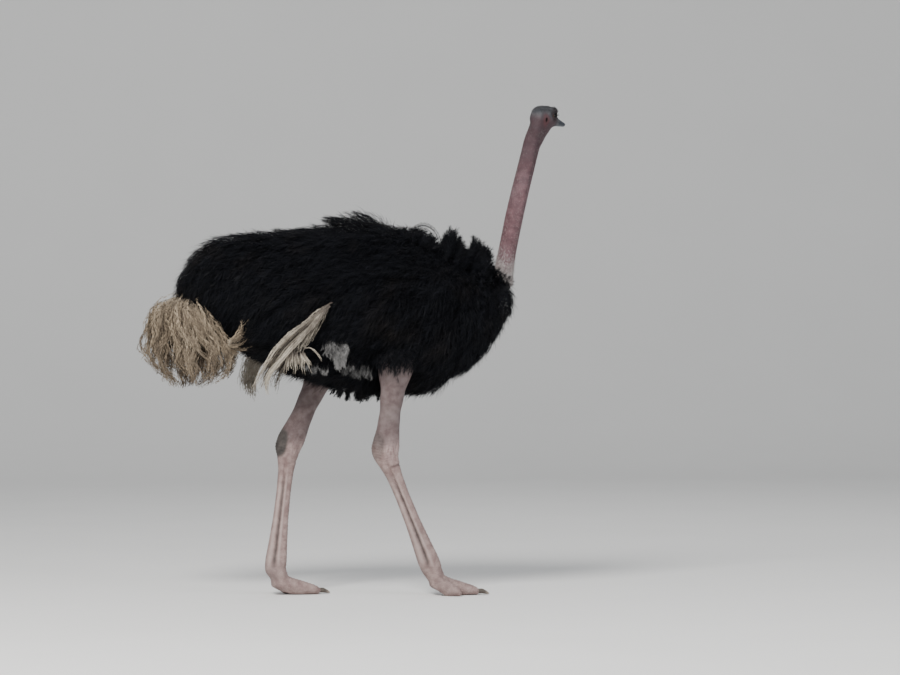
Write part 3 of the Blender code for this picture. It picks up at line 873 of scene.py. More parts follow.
def evened(mesh, weigh, rounds):
    """Rounds off a mesh where weigh(points) is above 0, to blend one shape into the next."""
    points = read(mesh.vertices, "co", 3)
    ends = read(mesh.edges, "vertices", 2, np.int32)
    near = weigh(points) > 0.01
    ends = ends[near[ends[:, 0]] | near[ends[:, 1]]]
    both = np.concatenate([ends, ends[:, ::-1]])
    used, both = np.unique(both, return_inverse=True)
    both = both.reshape(-1, 2)
    share = (weigh(points[used]) * 0.6)[:, None]
    total = np.bincount(both[:, 0], minlength=len(used))[:, None]
    moving = points[used]
    for _ in range(rounds):
        mean = np.stack([np.bincount(both[:, 0], moving[both[:, 1], axis], len(used))
                         for axis in range(3)], -1) / total
        moving = mix(moving, mean, share)
    points[used] = moving
    reshape(mesh, points)


def joined(first, others):
    """A solid union of meshes."""
    workers = [bpy.data.objects.new("skin_part", mesh) for mesh in others]
    for worker in workers:
        bpy.context.scene.collection.objects.link(worker)
    mesh = modified(first, *[
        ("BOOLEAN", {"operation": "UNION", "solver": "MANIFOLD", "object": worker})
        for worker in workers])
    for worker in workers:
        bpy.data.objects.remove(worker)
    return mesh


def under_jaw(points):
    """1 where the head's shells meet the neck, less towards the bill."""
    ahead = moved(points, TO_HEAD)[:, 0]
    return bell(points[:, 2], JAW - 0.008, 0.038) * ease(-ahead, -0.050, -0.018)


def make_skin(material):
    """The one skin. Its parts are fused or united, so that no seam shows."""
    shells = [neck_shell(), throat_shell(), skull_shell(), *head_fillings()]
    neck = fused(shells, 0.0015, squeezer(2, JAW - 0.06, 2.5), 8)
    evened(neck, under_jaw, 260)
    sculpted(sculpted(neck, neck_sculpt), head_sculpt)
    parts = [neck, *(mesh_of("lids", *eyelid_shell(side)) for side in SIDES)]
    for side in SIDES:
        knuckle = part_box("shank_" + side)[0].z
        leg = fused(leg_shells(side), 0.0033, evening=4)
        evened(leg, lambda points: bell(points[:, 2], knuckle + 0.010, 0.040), 30)
        parts.append(sculpted(leg, leg_sculpt(side)))
    mesh = joined(trunk_skin(0.012), parts)
    mark_skin(mesh)
    mesh.shade_smooth()
    flesh = ["trunk", "neck_lower", "neck_upper", "head"]
    for side in SIDES:
        flesh += [part + side for part in ("wing_", "thigh_", "shank_", "big_toe_", "small_toe_")]
    return piece("skin", mesh, material, flesh)


def head_marks(points):
    """Where the head is grey, where painted shade darkens the ear openings, lids and lore, and where the
    skin round the ears is flushed.
    """
    at = moved(points, TO_HEAD)
    near = np.linalg.norm(at, axis=1)
    head = np.clip(ease(at[:, 2], -0.034, 0.006) + ease(at[:, 0], 0.018, 0.045), 0, 1)
    flank = ease(np.abs(at[:, 1]), 0.015, 0.026)
    spot = ear_distance(at)
    # The ear mark is painted shade: in the ear opening's pit, and over the lids and lore under the brow.
    ear = ease(-spot, -0.0098, -0.0050) * flank * (near < 0.085)
    lid = np.hypot(at[:, 0] - 0.003, (at[:, 2] - 0.007) * 0.90)
    lid = ease(-lid, -0.0310, -0.0215) * flank * (near < 0.06)
    lore = bell(at[:, 0], 0.026, 0.010) * bell(at[:, 2], 0.006, 0.020) * (near < 0.06)
    return {"head": head * ease(-near, -0.115, -0.080),
            "ear": np.maximum(ear, np.maximum(lid * 0.80, lore * 0.75)),
            "flush": bell(spot, 0.010, 0.012) * flank * (near < 0.09)}


def leg_marks(points):
    """Which skin is a leg's, its scaly part, its callus stains, and painted light: shade in the shank's
    groove and the hock's folds and crease, highlights on its ridges and hock.
    """
    height = points[:, 2]
    leg, scaly, stain, ridge, hock_highlight_and_fold_shade, crease = np.zeros((6, len(points)))
    # stained weighs each side's callus stain; the painted highlights and crease at the hock are weighed
    # the other way, stronger on the right leg.
    for side, stained in (("left", 1.0), ("right", 0.45)):
        hock = HOCK[side]
        centre, half = LEG[side](height)
        off = off_middle(LEG[side], points)
        own = np.where(height < 0.75, off < 2.2, off < 1.12) * (height < 1.06)
        own = own | ((height < 0.12) & (np.abs(points[:, 1] - centre[:, 1]) < 0.12))
        leg = np.maximum(leg, own)
        scaly = np.maximum(scaly, own * ease(-height, -hock - 0.03, 0.03 - hock))
        back = points[:, 0] - centre[:, 0] + half[:, 0]
        pad = np.hypot((height - hock - 0.002) / 0.064, back / 0.044)
        stain = np.maximum(stain, own * ease(-pad, -1.12, -0.78) * stained)
        turn = np.abs(turn_about(points, centre))
        shank = own * ease(height, 0.10, 0.16) * ease(-height, 0.10 - hock, 0.22 - hock)
        # Painted shade: the tendon's groove along each shank is darkened, in the same mark as the callus
        # stain.
        stain = np.maximum(stain, shank * bell(turn, 1.86, 0.20) * 0.85)
        # Painted highlights: the ridges either side of the groove are lightened.
        ridge = np.maximum(ridge, shank * (bell(turn, 1.38, 0.20) + bell(turn, 2.42, 0.26)))
        front = ease(-turn, -2.0, -1.3)
        # Painted highlights and dark fold streaks over the front of the hock.
        folds = own * bell(height, hock - 0.018, 0.050) * front * (1.40 - stained)
        hock_highlight_and_fold_shade = np.maximum(hock_highlight_and_fold_shade, folds)
        # Painted shade in the deep fold under the hock, darkest on the right leg.
        fold = own * bell(height, crease_height(hock, turn), 0.0055) * front
        crease = np.maximum(crease, fold * (0.95 - 0.75 * stained))
    return {"leg": leg, "scaly": scaly, "stain": stain, "ridge": ridge,
            "hock": np.clip(hock_highlight_and_fold_shade, 0, 1), "crease": crease}


def mark_skin(mesh):
    """Numbers on the skin that its finish reads: which region, its stains, and where light and shade are
    painted.
    """
    points = read(mesh.vertices, "co", 3)
    height = points[:, 2]
    neck = ease(above_collar(points), -0.010, 0.012) * (points[:, 0] > BREAST)
    neck = neck * np.maximum(ease(-off_middle(NECK, points), -1.35, -1.12), height > 1.45)
    put_marks(mesh, {"neck": neck, "upper": ease(height, 1.70, 1.98), **head_marks(points),
                     **leg_marks(points)})


# ---------------------------------------------------------------- how plumes lie on the trunk
DOWN = np.array([0.0, 0.0, -1.0])


def lie(points):
    """The way plumes point: back along the back, down over flanks, breast and rump."""
    out = TORSO.outward(points)
    front, rear = ease(points[:, 0], 0.25, 0.60), ease(-points[:, 0], 0.45, 0.78)
    flank = np.sqrt(np.clip(1 - out[:, 2] ** 2, 0, 1))
    back = 1.0 - 0.62 * front - 0.30 * rear
    down = 0.05 + flank * (0.45 + 0.30 * front) + 0.45 * front + 0.60 * rear
    way = np.stack([-back, 0.15 * out[:, 1], -down], -1)
    away = (points - NECK(np.maximum(points[:, 2], 1.28))[0]) * np.array([1, 1, 0])
    reach = np.linalg.norm(away, axis=1)
    collar = bell(reach, 0.05, 0.075) * ease(points[:, 2], 1.22, 1.32)
    behind = ease(-away[:, 0] / np.maximum(reach, 0.02), -0.2, 0.7)
    spread = away / np.maximum(reach, 0.02)[:, None] * mix(0.25, 1.0, behind)[:, None]
    way = way + (spread + mix(1.2, 0.4, behind)[:, None] * DOWN) * (1.6 * collar)[:, None]
    return unit(way - out * np.sum(way * out, -1, keepdims=True) * 0.95)


def grown(roots, heading, lengths, steps, stiff, weight, top):
    """Shafts that turn to the coat's lie, sag, and rise from the skin to their own level.

    top is how far beyond the outline each one ends: below 0 is under it.
    """
    points, line = roots, [roots]
    start = TORSO(roots)
    hurry = np.where(start > 0, 0.35, 0.75)
    for step in range(steps):
        share = (step + 1) / steps
        pull = (1 - stiff) * (0.30 + 0.45 * share)
        sag = DOWN * (weight * share)[:, None]
        heading = unit(heading + (lie(points) - heading) * pull[:, None] + sag)
        points = points + heading * (lengths / steps)[:, None]
        level = mix(start, top, share ** hurry)
        shift = np.clip(level - TORSO(points), -0.030, 0.030)
        points = points + TORSO.outward(points) * (0.85 * shift)[:, None]
        line.append(points)
    return np.stack(line, 1)


def clumped(lines, leaders, pull):
    """Draws the plumes' tips to their nearest leader's, so that they hang in pointed tufts."""
    chosen = RNG.choice(len(lines), leaders, replace=False)
    roots, ends = lines[:, 0], lines[chosen, 0]
    gap = np.sum(roots ** 2, 1)[:, None] - 2 * roots @ ends.T + np.sum(ends ** 2, 1)
    owner = chosen[np.argmin(gap, 1)]
    share = np.linspace(0, 1, lines.shape[1])[None, :, None] ** 2
    return lines + (lines[owner] - lines) * share * pull[:, None, None]


# ---------------------------------------------------------------- feathers
def along(lines, share):
    """Points and unit directions at shares (plumes, ...) of lines (plumes, steps + 1, 3)."""
    steps = lines.shape[1] - 1
    at = np.clip(share, 0, 0.9999) * steps
    index = at.astype(int)
    which = np.arange(len(lines)).reshape(-1, *(1,) * (share.ndim - 1))
    start, stop = lines[which, index], lines[which, index + 1]
    return mix(start, stop, (at - index)[..., None]), unit(stop - start)


def strip_faces(count):
    """Faces of strips, each of five points."""
    return ((np.arange(count) * 5)[:, None, None] + STRIP).reshape(-1, 3)


def plumes(lines, out, spread, barbs, thick, uv, tone, open_angle=(58, 16), sag=0.25, curl=0.35,
           ragged=0.3, twist=0.9, first=0.10, shaft=0.0011):
    """Feathers on the given shafts: lines (plumes, steps + 1, 3), out square to each vane.

    spread is the vanes' half width and thick a barb's own width. Each barb is a strip with one
    bend that ends in a point, and the shaft is a tapering strip.
    """
    count, steps = len(lines), lines.shape[1] - 1
    side = np.array([1.0, -1.0])[None, :, None]
    share = np.linspace(first, 1, barbs)[None, None, :] + RNG.normal(0, 0.012, (count, 2, barbs))
    share = np.clip(share, 0.02, 1)
    root, ahead = along(lines, share)
    face = unit(out[:, None, None, :] + RNG.normal(0, 0.16, (count, 2, barbs, 3)))
    beside = across(face, ahead) * side[..., None]
    face = across(ahead, beside) * side[..., None]
    angle = np.radians(mix(open_angle[0], open_angle[1], share ** 1.3))
    angle = angle * (1 + RNG.normal(0, 0.16, share.shape))
    vane = np.sin(np.pi * np.clip(share * 0.80 + 0.16, 0, 1)) ** 0.7
    length = spread[:, None, None] * (0.25 + vane) * (1 + RNG.normal(0, ragged, share.shape))
    length = np.clip(length, 0.15 * spread[:, None, None], 1.9 * spread[:, None, None])
    way = unit(ahead * np.cos(angle)[..., None] + beside * np.sin(angle)[..., None]
               + face * RNG.normal(0, 0.14, share.shape)[..., None])
    bent = unit(way + ahead * curl + np.array([0, 0, -sag])
                + RNG.normal(0, 0.14, (*share.shape, 3)))
    tilt = RNG.normal(0, twist, share.shape)[..., None]
    flat = unit(across(way, face) * np.cos(tilt) + face * np.sin(tilt)) * (thick / 2)
    middle = root + way * (length * 0.52)[..., None]
    tip = middle + bent * (length * 0.52)[..., None]
    strips = np.stack([root + flat, root - flat, middle + flat * 0.85, middle - flat * 0.85, tip], -2)
    strips = strips.reshape(-1, 5, 3)
    faces = strip_faces(len(strips))

    width = shaft * np.linspace(1, 0.25, steps + 1)[None, :, None] / 2
    run = unit(np.gradient(lines, axis=1))
    edge = across(np.broadcast_to(out[:, None, :], lines.shape), run) * width
    rails = np.stack([lines + edge, lines - edge], 2).reshape(-1, 3)
    start = len(strips) * 5 + np.arange(count)[:, None] * (steps + 1) * 2 + np.arange(steps) * 2
    faces = np.concatenate([faces, (start.reshape(-1, 1, 1) + STRIP[:2]).reshape(-1, 3)])
    points = np.concatenate([strips.reshape(-1, 3), rails])

    own = np.concatenate([np.repeat(np.arange(count), 2 * barbs * 5),
                          np.repeat(np.arange(count), (steps + 1) * 2)])
    on_barbs = share[..., None] + np.array([0, 0, 0.10, 0.10, 0.2])
    on_shafts = np.tile(np.repeat(np.linspace(0, 1, steps + 1), 2), count)
    shares = np.clip(np.concatenate([on_barbs.reshape(-1), on_shafts]), 0, 1)
    aside = np.broadcast_to(side[..., None] * np.array([0.1, 0.1, 0.5, 0.5, 1.0]), on_barbs.shape)
    aside = np.concatenate([aside.reshape(-1), np.zeros(len(rails))])
    local = np.stack([aside / 2, shares - 0.5], -1) * TUFT_PATCH
    jitter = np.concatenate([np.repeat(RNG.normal(0, 0.10, len(strips)), 5), np.zeros(len(rails))])
    return {"points": points, "faces": faces, "uv": uv[own] + local,
            "tone": np.clip(tone[own] + jitter, 0, 1), "share": shares}


def hairs(roots, heading, out, lengths, thick, bend, uv, tone):
    """Single bristles or wisps of down: strips with one bend that end in a point."""
    count = len(roots)
    spin = RNG.normal(0, 0.8, count)[:, None]
    flat = unit(across(heading, out) * np.cos(spin) + out * np.sin(spin)) * (thick / 2)[:, None]
    middle = roots + heading * (lengths * 0.5)[:, None]
    tip = middle + unit(heading + bend) * (lengths * 0.5)[:, None]
    points = np.stack([roots + flat, roots - flat, middle + flat * 0.7, middle - flat * 0.7, tip], 1)
    local = np.array([[-0.5, 0], [0.5, 0], [-0.5, 0.5], [0.5, 0.5], [0, 1]]) * TUFT_PATCH
    return {"points": points.reshape(-1, 3), "faces": strip_faces(count),
            "uv": (uv[:, None, :] + local).reshape(-1, 2), "tone": np.repeat(np.clip(tone, 0, 1), 5),
            "share": np.tile([0.0, 0.0, 0.5, 0.5, 1.0], count)}


def coat(name, parts, material, nodes=()):
    """Joins groups of feathers into one piece."""
    counts = np.cumsum([0] + [len(part["points"]) for part in parts])
    faces = np.concatenate([part["faces"] + count for part, count in zip(parts, counts)])
    points, uv, tone, share = (np.concatenate([part[key] for part in parts])
                               for key in ("points", "uv", "tone", "share"))
    piece(name, mesh_of(name, points, faces, uv, tone=tone, share=share), material, nodes)


# ---------------------------------------------------------------- the black coat
def body_map(points):
    """Where a root lies on the trunk's unwrap: along it, and round it from the belly."""
    centre, half = BODY(points[:, 0])
    turn = np.arctan2((points[:, 2] - centre[:, 2]) / half[:, 2], points[:, 1] / half[:, 1])
    return np.stack([0.02 + 0.96 * (points[:, 0] - BODY.start) / (BODY.stop - BODY.start),
                     0.02 + 0.96 * ((turn + math.pi / 2) % (2 * math.pi)) / (2 * math.pi)], -1)


def bare(points):
    """True where the neck or a thigh comes out of the plumage, so that no plume roots there."""
    clear = (above_collar(points) > 0.004) & (off_middle(NECK, points) < 1.3)
    for leg in LEG.values():
        clear |= (off_middle(leg, points) < 1.05) & (points[:, 2] < 0.99)
    return clear


def black_coat(material):
    """The body plumes, from short ones on the breast to long ones on the rump and flanks."""
    roots, normals = surface(trunk_skin(ROOT_SPACING / math.sqrt(SHARE)))
    covered = ~bare(roots)
    roots, normals = roots[covered], normals[covered]
    roots = roots + RNG.normal(0, 0.0045, roots.shape)
    count, x = len(roots), roots[:, 0]
    out = unit(TORSO.outward(roots) + normals)
    flow = lie(roots)
    rise, rear, front = out[:, 2], ease(-x, 0.35, 0.70), ease(x, 0.35, 0.62)
    flank = np.sqrt(1 - rise ** 2)
    length = 0.165 + 0.045 * flank - 0.060 * front - 0.020 * rear - 0.035 * (rise < -0.6)
    thigh = np.minimum(off_middle(LEG["left"], roots), off_middle(LEG["right"], roots))
    length *= 1 - 0.50 * ease(-thigh, -1.7, -1.2) * ease(-roots[:, 2], -1.12, -1.02)
    length *= 1 - 0.30 * ease(roots[:, 2], 1.27, 1.33) * (x > BREAST)
    length *= varied(0.16, count)
    crest = ease(rise, 0.72, 0.92) * (bell(x, 0.06, 0.18) + 0.9 * bell(x, -0.62, 0.14))
    rump = rear * ease(-x, 0.60, 0.75)
    fringe = ease(-rise, 0.35, 0.70) * bell(x, -0.02, 0.30)
    loose = RNG.uniform(0, 1, count) < 0.04 + 0.26 * crest + 0.45 * rump + 0.35 * fringe
    top = RNG.uniform(-0.020, 0.006, count) + loose * RNG.uniform(0.004, 0.017 + 0.015 * rump)
    top += 0.028 * bell(x, 0.13, 0.085) * ease(rise, 0.60, 0.90)
    top -= 0.030 * bell(roots[:, 2], 1.030, 0.036) * ease(x, 0.36, 0.44)
    top += 0.018 * bell(x, -0.55, 0.11) * ease(rise, 0.60, 0.90)
    top += 0.024 * bell(x, 0.52, 0.055) * ease(rise, 0.40, 0.75)
    top = np.maximum(top, TORSO(roots) + 0.010)
    heading = unit(flow + out * (0.45 + 0.3 * crest)[:, None] + RNG.normal(0, 0.13, (count, 3)))
    stiff = np.clip(0.40 + RNG.normal(0, 0.1, count), 0.1, 0.8)
    weight = 0.10 + 0.25 * ease(-rise, 0.2, 0.7)
    lines = grown(roots, heading, length, 6, stiff, weight, top)
    lines = clumped(lines, count // 11, 0.22 + 0.40 * np.clip(crest + rump + fringe, 0, 1))
    tips = lines[:, -1]
    past = np.maximum(RUMP_END - tips[:, 0], 0) * ease(-tips[:, 2], -1.17, -1.12)
    shorter = 1 - np.clip(past / np.maximum(x - tips[:, 0], 0.02), 0, 0.7)
    lines = roots[:, None, :] + (lines - roots[:, None, :]) * shorter[:, None, None]
    face = astray(out, 0.28, count)
    spread = (0.038 + 0.008 * flank - 0.010 * front) * varied(0.15, count)
    tone = np.clip(0.42 + RNG.normal(0, 0.25, count), 0, 1)
    places = body_map(roots)
    left, belly, back = roots[:, 1] > 0, rise < -STEEP, rise > STEEP
    regions = {     # a plume belongs to the first that it fits
        "coat_breast": x > 0.42,
        "coat_belly_fore": belly & (x > 0.05),
        "coat_belly_hind": belly,
        "coat_back_fore": back & (x > -0.12),
        "coat_back_hind": back,
        "coat_wing_left": left & (x > -0.15),
        "coat_wing_right": ~left & (x > -0.15),
        "coat_haunch_left": left,
        "coat_haunch_right": ~left}
    free = np.ones(count, bool)
    for name, fits in regions.items():
        chosen = fits & free
        free &= ~fits
        part = plumes(lines[chosen], face[chosen], spread[chosen], 21, 0.0016,
                      uv=places[chosen], tone=tone[chosen])
        coat(name, [part], material)


def thigh_fringes(material):
    """Plumes that hang over the top of each thigh."""
    parts = []
    share = np.linspace(0, 1, 6)[None, :, None]
    for side, sign in SIDES.items():
        count = some(190)
        turn = sign * RNG.uniform(-0.8, math.pi + 0.8, count)
        centre, half = LEG[side](np.full(count, 1.00))
        around = spokes(turn)
        roots = centre + around * half * 1.02
        ahead = ease(np.cos(turn), -0.2, 0.9)
        roots[:, 2] = 1.046 + 0.016 * ahead + RNG.uniform(-0.022, 0.022, count)
        heading = astray(DOWN + around * 0.16 - np.array([0.22, 0, 0]), 0.10, count)
        length = 0.072 * varied(0.22, count)
        lines = roots[:, None, :] + heading[:, None, :] * length[:, None, None] * share
        lines += around[:, None, :] * 0.010 * np.sin(share * math.pi)
        lines = waved(lines, 0.004, 0.08)
        parts.append(plumes(lines, astray(around, 0.3, count), np.full(count, 0.024), 16, 0.0017,
                            sag=0.5, uv=body_map(roots), tone=np.full(count, 0.35)))
    coat("thigh_fringes", parts, material)


def belly_fringe(material):
    """Pointed tufts that hang from the belly between and before the thighs."""
    clumps, each = 30, 7
    count, owner = clumps * each, np.repeat(np.arange(clumps), each)
    share = np.linspace(0, 1, 7)[None, :, None]
    middles = np.stack([RNG.uniform(-0.13, 0.13, clumps), RNG.uniform(-0.15, 0.11, clumps),
                        np.full(clumps, 0.86)], -1)
    middles = TORSO.onto(middles, -0.012)
    roots = TORSO.onto(middles[owner] + RNG.normal(0, 0.013, (count, 3)), -0.015)
    drop = astray(np.array([-0.30, 0, -1.0]), 0.16, clumps)
    tips = middles + drop * (0.044 * varied(0.35, clumps))[:, None]
    tips = tips[owner][:, None, :] + RNG.normal(0, 0.004, (count, 1, 3))
    lines = waved(mix(roots[:, None, :], tips, share), 0.004, 0.07)
    beside = np.sign(roots[:, 1])[:, None]
    out = astray(np.array([0.2, 0, 0]) + beside * np.array([0, 1, 0]), 0.5, count)
    part = plumes(lines, out, np.full(count, 0.013), 16, 0.0016, open_angle=(40, 10), sag=0.5,
                  uv=body_map(roots), tone=np.full(count, 0.35))
    coat("belly_fringe", [part], material)


def neck_root_tufts():
    """Short plumes round the root of the neck that point up and curl away from it."""
    count = some(190)
    turn = math.pi + RNG.uniform(-1, 1, count) * math.pi
    ahead = np.cos(turn)
    height = NECK_ROOT + 0.022 - 0.020 * ahead - 0.045 * RNG.uniform(0, 1, count)
    centre, half = NECK(height)
    around = spokes(turn)
    roots = centre + around * (half[:, :1] - 0.006)
    share = np.linspace(0, 1, 7)[None, :, None]
    length = mix(0.036, 0.026, ease(ahead, 0.0, 0.9)) * varied(0.22, count)
    length = length[:, None, None]
    away = mix(0.60, 0.12, ease(ahead, -0.2, 0.9))[:, None, None]
    lines = roots[:, None, :] + around[:, None, :] * length * away * (0.45 * share + 0.35 * share ** 2)
    lines[..., 2] += (length * (0.85 * share - 0.55 * share ** 3))[..., 0]
    face = astray(around + np.array([0, 0, -0.6]), 0.3, count)
    return plumes(waved(lines, 0.004, 0.05), face, np.full(count, 0.018), 14, 0.0014, sag=0.1,
                  uv=body_map(roots), tone=np.clip(0.4 + RNG.normal(0, 0.2, count), 0, 1))


# Each tuft of the crest: its outline, as metres ahead of the back of its node's box and above the
# box's top, then how many plumes, and the middle of the tuft and half its width along y.
CREST = {
    "ruff_rear": (((-0.180, -0.010), (-0.134, 0.002), (-0.099, 0.011), (-0.064, 0.009),
                   (-0.029, -0.002), (0.005, -0.030), (0.023, -0.062), (0.036, -0.093)),
                  190, -0.02, 0.085),
    "ruff_middle": (((-0.034, -0.118), (-0.030, -0.046), (-0.018, -0.006), (0.004, -0.010),
                     (0.020, -0.034), (0.030, -0.062), (0.045, -0.086), (0.069, -0.110)),
                    150, -0.055, 0.045),
    "ruff_front": (((-0.026, -0.074), (-0.019, -0.031), (-0.008, 0.000), (0.014, -0.021),
                    (0.033, -0.041), (0.051, -0.060), (0.0595, -0.100), (0.064, -0.148)),
                   150, 0.015, 0.050)}


def reaching(place, low, high, level):
    """The lengths, between low and high, whose places lie at a level from the outline."""
    for _ in range(16):
        middle = (low + high) / 2
        inside = TORSO(place(middle)) < level
        low, high = np.where(inside, middle, low), np.where(inside, high, middle)
    return low


def ground(x, y, level):
    """The height over x and y where the outline's distance is level."""
    return reaching(lambda z: np.stack([x, y, z], -1), x * 0 + 1.05, x * 0 + 1.70, level)


def widest(x, z, level):
    """How far out on the right side, at x and z, the outline's distance is level."""
    return reaching(lambda y: np.stack([x, -y, z], -1), x * 0, x * 0 + 0.35, level)


def upright_plumes(x, y, top, sway, hook):
    """Plumes that rise from the shoulders to given heights, with tips that hook ahead."""
    count = len(x)
    root_x = x - 0.035
    foot = np.minimum(ground(root_x, y, -0.025), top - 0.05)
    levels = np.linspace(0, 1, 8)[None, :]
    lines = np.stack([mix(root_x[:, None], x[:, None], np.sqrt(levels)), y[:, None] + 0 * levels,
                      mix(foot[:, None], top[:, None], levels)], -1)
    curl = levels ** 4 * (hook * RNG.uniform(0.2, 1.5, count))[:, None]
    lines[..., 0] += curl
    lines[..., 1] += curl * RNG.uniform(-1, 1, count)[:, None]
    lines[..., 2] -= 0.6 * curl
    lines = waved(lines, sway, 0.10)
    facing = np.stack([0.2 * np.sign(RNG.normal(0, 1, count)), np.sign(y + 0.02), 0.1 + 0 * x], -1)
    out = astray(facing, 0.5, count)
    return plumes(lines, out, np.full(count, 0.022), 18, 0.0015, open_angle=(48, 18), sag=0.0, curl=0.5,
                  uv=body_map(lines[:, 0]), tone=np.clip(0.42 + RNG.normal(0, 0.22, count), 0, 1))


def plume_bed(count, start, stop, height, domed, uneven, middle, wide, sway, hook):
    """Upright plumes from start to stop along x, as high as height(x) or lower.

    domed is how much lower they are at the sides. uneven is how much lower they are by chance, and
    the power of that chance. hook is how far their tips hook ahead, at start and at stop.
    """
    x = RNG.uniform(start, stop, some(count))
    aside = RNG.uniform(-1, 1, len(x))
    depth, power = uneven
    top = height(x) - domed * aside ** 2 - depth * RNG.uniform(0, 1, len(x)) ** power
    return upright_plumes(x, middle + wide * aside, top, sway, mix(*hook, (x - start) / (stop - start)))


def shoulder_tufts(material):
    """The ruffled crest: a mound and two tufts over beds of upright plumes, and those at the neck."""
    parts = [stray_curls(), neck_root_tufts()]
    for node, (outline, count, middle, wide) in CREST.items():
        low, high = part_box(node)
        edge = np.array(outline) + (low.x, high.z)
        start, stop = edge[0, 0], edge[-1, 0]
        parts.append(plume_bed(count, start, stop, lambda x: np.interp(x, *edge.T), 0.030, (0.045, 2.5),
                               middle, wide, 0.005, (0, 0.016)))
    start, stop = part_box("ruff_rear")[0].x - 0.02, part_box("ruff_front")[1].x - 0.045
    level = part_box("ruff_middle")[1].z - 0.120
    parts.append(plume_bed(230, start, stop, lambda x: level - 0.075 * ease(x, 0.53, 0.58), 0.035,
                           (0.020, 1), -0.02, 0.085, 0.006, (0.006, 0.006)))
    parts.append(plume_bed(110, 0.46, 0.60, lambda x: 1.425 - 0.020 * ease(x, 0.52, 0.60), 0.0,
                           (0.025, 1), 0.0, 0.045, 0.008, (0.006, 0.006)))
    coat("shoulder_tufts", parts, material, list(CREST))


def stray_curls():
    """A few long thin plumes that arch over the front of the rearmost tuft."""
    low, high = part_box("ruff_rear")
    count = 7
    turn = mix(0.72, 0.0, np.linspace(0, 1, 10)[None, :]) * math.pi
    size = RNG.uniform(0.80, 1.05, count)[:, None]
    lines = np.stack([low.x - 0.044 + 0.074 * size * np.cos(turn),
                      (low.y + high.y) / 2 + RNG.normal(0, 0.020, count)[:, None] + 0 * turn,
                      high.z - 0.060 + 0.086 * size * np.sin(turn)], -1)
    out = astray(np.array([0.3, -1.0, 0.0]), 0.3, count)
    return plumes(lines, out, np.full(count, 0.007), 24, 0.0012, open_angle=(50, 30), sag=0.0, curl=0.4,
                  uv=body_map(lines[:, 0]), tone=np.full(count, 0.4))


# ---------------------------------------------------------------- tail and wing plumes
def waved(lines, size, length):
    """Adds soft sideways waves that grow towards the tips."""
    count, steps = lines.shape[:2]
    run = np.linspace(0, 1, steps)[None, :, None]
    phase = RNG.uniform(0, 2 * math.pi, (count, 1, 3))
    speed = RNG.uniform(0.7, 1.4, (count, 1, 3)) * 2 * math.pi / length
    reach = np.linalg.norm(lines[:, -1] - lines[:, 0], axis=-1)[:, None, None]
    wave = np.sin(phase + speed * run * reach) - np.sin(phase)
    return lines + wave * size * run * np.array([1, 1, 0.3])


TAIL_LOCKS = (      # how many locks, plumes in each, inner and outer reach, vane, paleness
    (78, 7, 0.34, 1.06, 0.014, 0.62),
    # The two inner lots are dark: painted shade in the heart of the mop and between its locks.
    (22, 4, 0.22, 0.60, 0.016, 0.12),
    (26, 4, 0.0, 0.20, 0.030, 0.05))


def tail_plumes(material):
    """The mop of the tail: thick wavy locks over a dark heart of painted shade, arching out from the
    stump.
    """
    tail = Profile(["tail"], 2, rounds=3)
    hub = np.array([BODY.start + 0.085, 0, tail.stop - 0.012])
    deep = tail.stop - tail.start
    levels = np.linspace(0, 1, 18)[None, :]
    lots = {key: [] for key in ("lines", "out", "spread", "tone", "places", "spin")}
    for locks, each, inner, outer, spread, shade in TAIL_LOCKS:
        locks = int(locks * SHARE)
        spin = (np.arange(locks) + RNG.uniform(0, 1, locks)) * 2 * math.pi / locks
        reach = np.sqrt(RNG.uniform(inner, outer, locks))
        lowest = tail.start + 0.010 + deep * (0.05 * reach ** 3 + 0.30 * RNG.uniform(0, 1, locks) ** 1.7)
        z = mix(hub[2], lowest[:, None], levels ** 1.22)
        centre, half = tail(z)
        opened = ease(levels, 0.0, 0.26)
        x = mix(hub[0], centre[..., 0] + half[..., 0] * (reach * np.cos(spin))[:, None], opened)
        y = mix(hub[1], centre[..., 1] + half[..., 1] * (reach * np.sin(spin))[:, None], opened)
        paths = waved(np.stack([x, y, z], -1), 0.015, 0.14)
        curl = ease(levels, 0.76, 1.0) * RNG.uniform(-0.3, 1.1, locks)[:, None]
        paths[..., 0] += 0.046 * curl
        paths[..., 2] += 0.022 * curl ** 2
        owner = np.repeat(np.arange(locks), each)
        count = len(owner)
        apart = RNG.normal(0, 0.0115, (count, 1, 3)) * mix(1.3, 0.45, levels)[..., None]
        lots["lines"].append(waved(paths[owner] + apart, 0.003, 0.05))
        lots["out"].append(astray(spokes(spin)[owner] - 0.3 * DOWN, 0.35, count))
        lots["spread"].append(np.full(count, spread))
        tone = shade + min(shade, 0.3) * RNG.normal(0, 1, locks)
        lots["tone"].append(np.clip(tone[owner] + RNG.normal(0, 0.10, count), 0, 1))
        places = np.stack([0.06 + 0.05 * reach, 0.1 + 0.8 * spin / (2 * math.pi)], -1)
        lots["places"].append(places[owner])
        lots["spin"].append(spin[owner])
    lots = {key: np.concatenate(values) for key, values in lots.items()}
    order = np.argsort(lots["spin"], kind="stable")
    count = len(order)
    halves = {"tail_plumes_left": order[:count // 2], "tail_plumes_right": order[count // 2:]}
    for name, chosen in halves.items():
        part = plumes(lots["lines"][chosen], lots["out"][chosen], lots["spread"][chosen], 40, 0.0021,
                      open_angle=(30, 8), sag=0.5, curl=0.6, ragged=0.35, twist=0.7,
                      uv=lots["places"][chosen], tone=lots["tone"][chosen])
        coat(name, [part], material, ["tail"] if "left" in name else ())


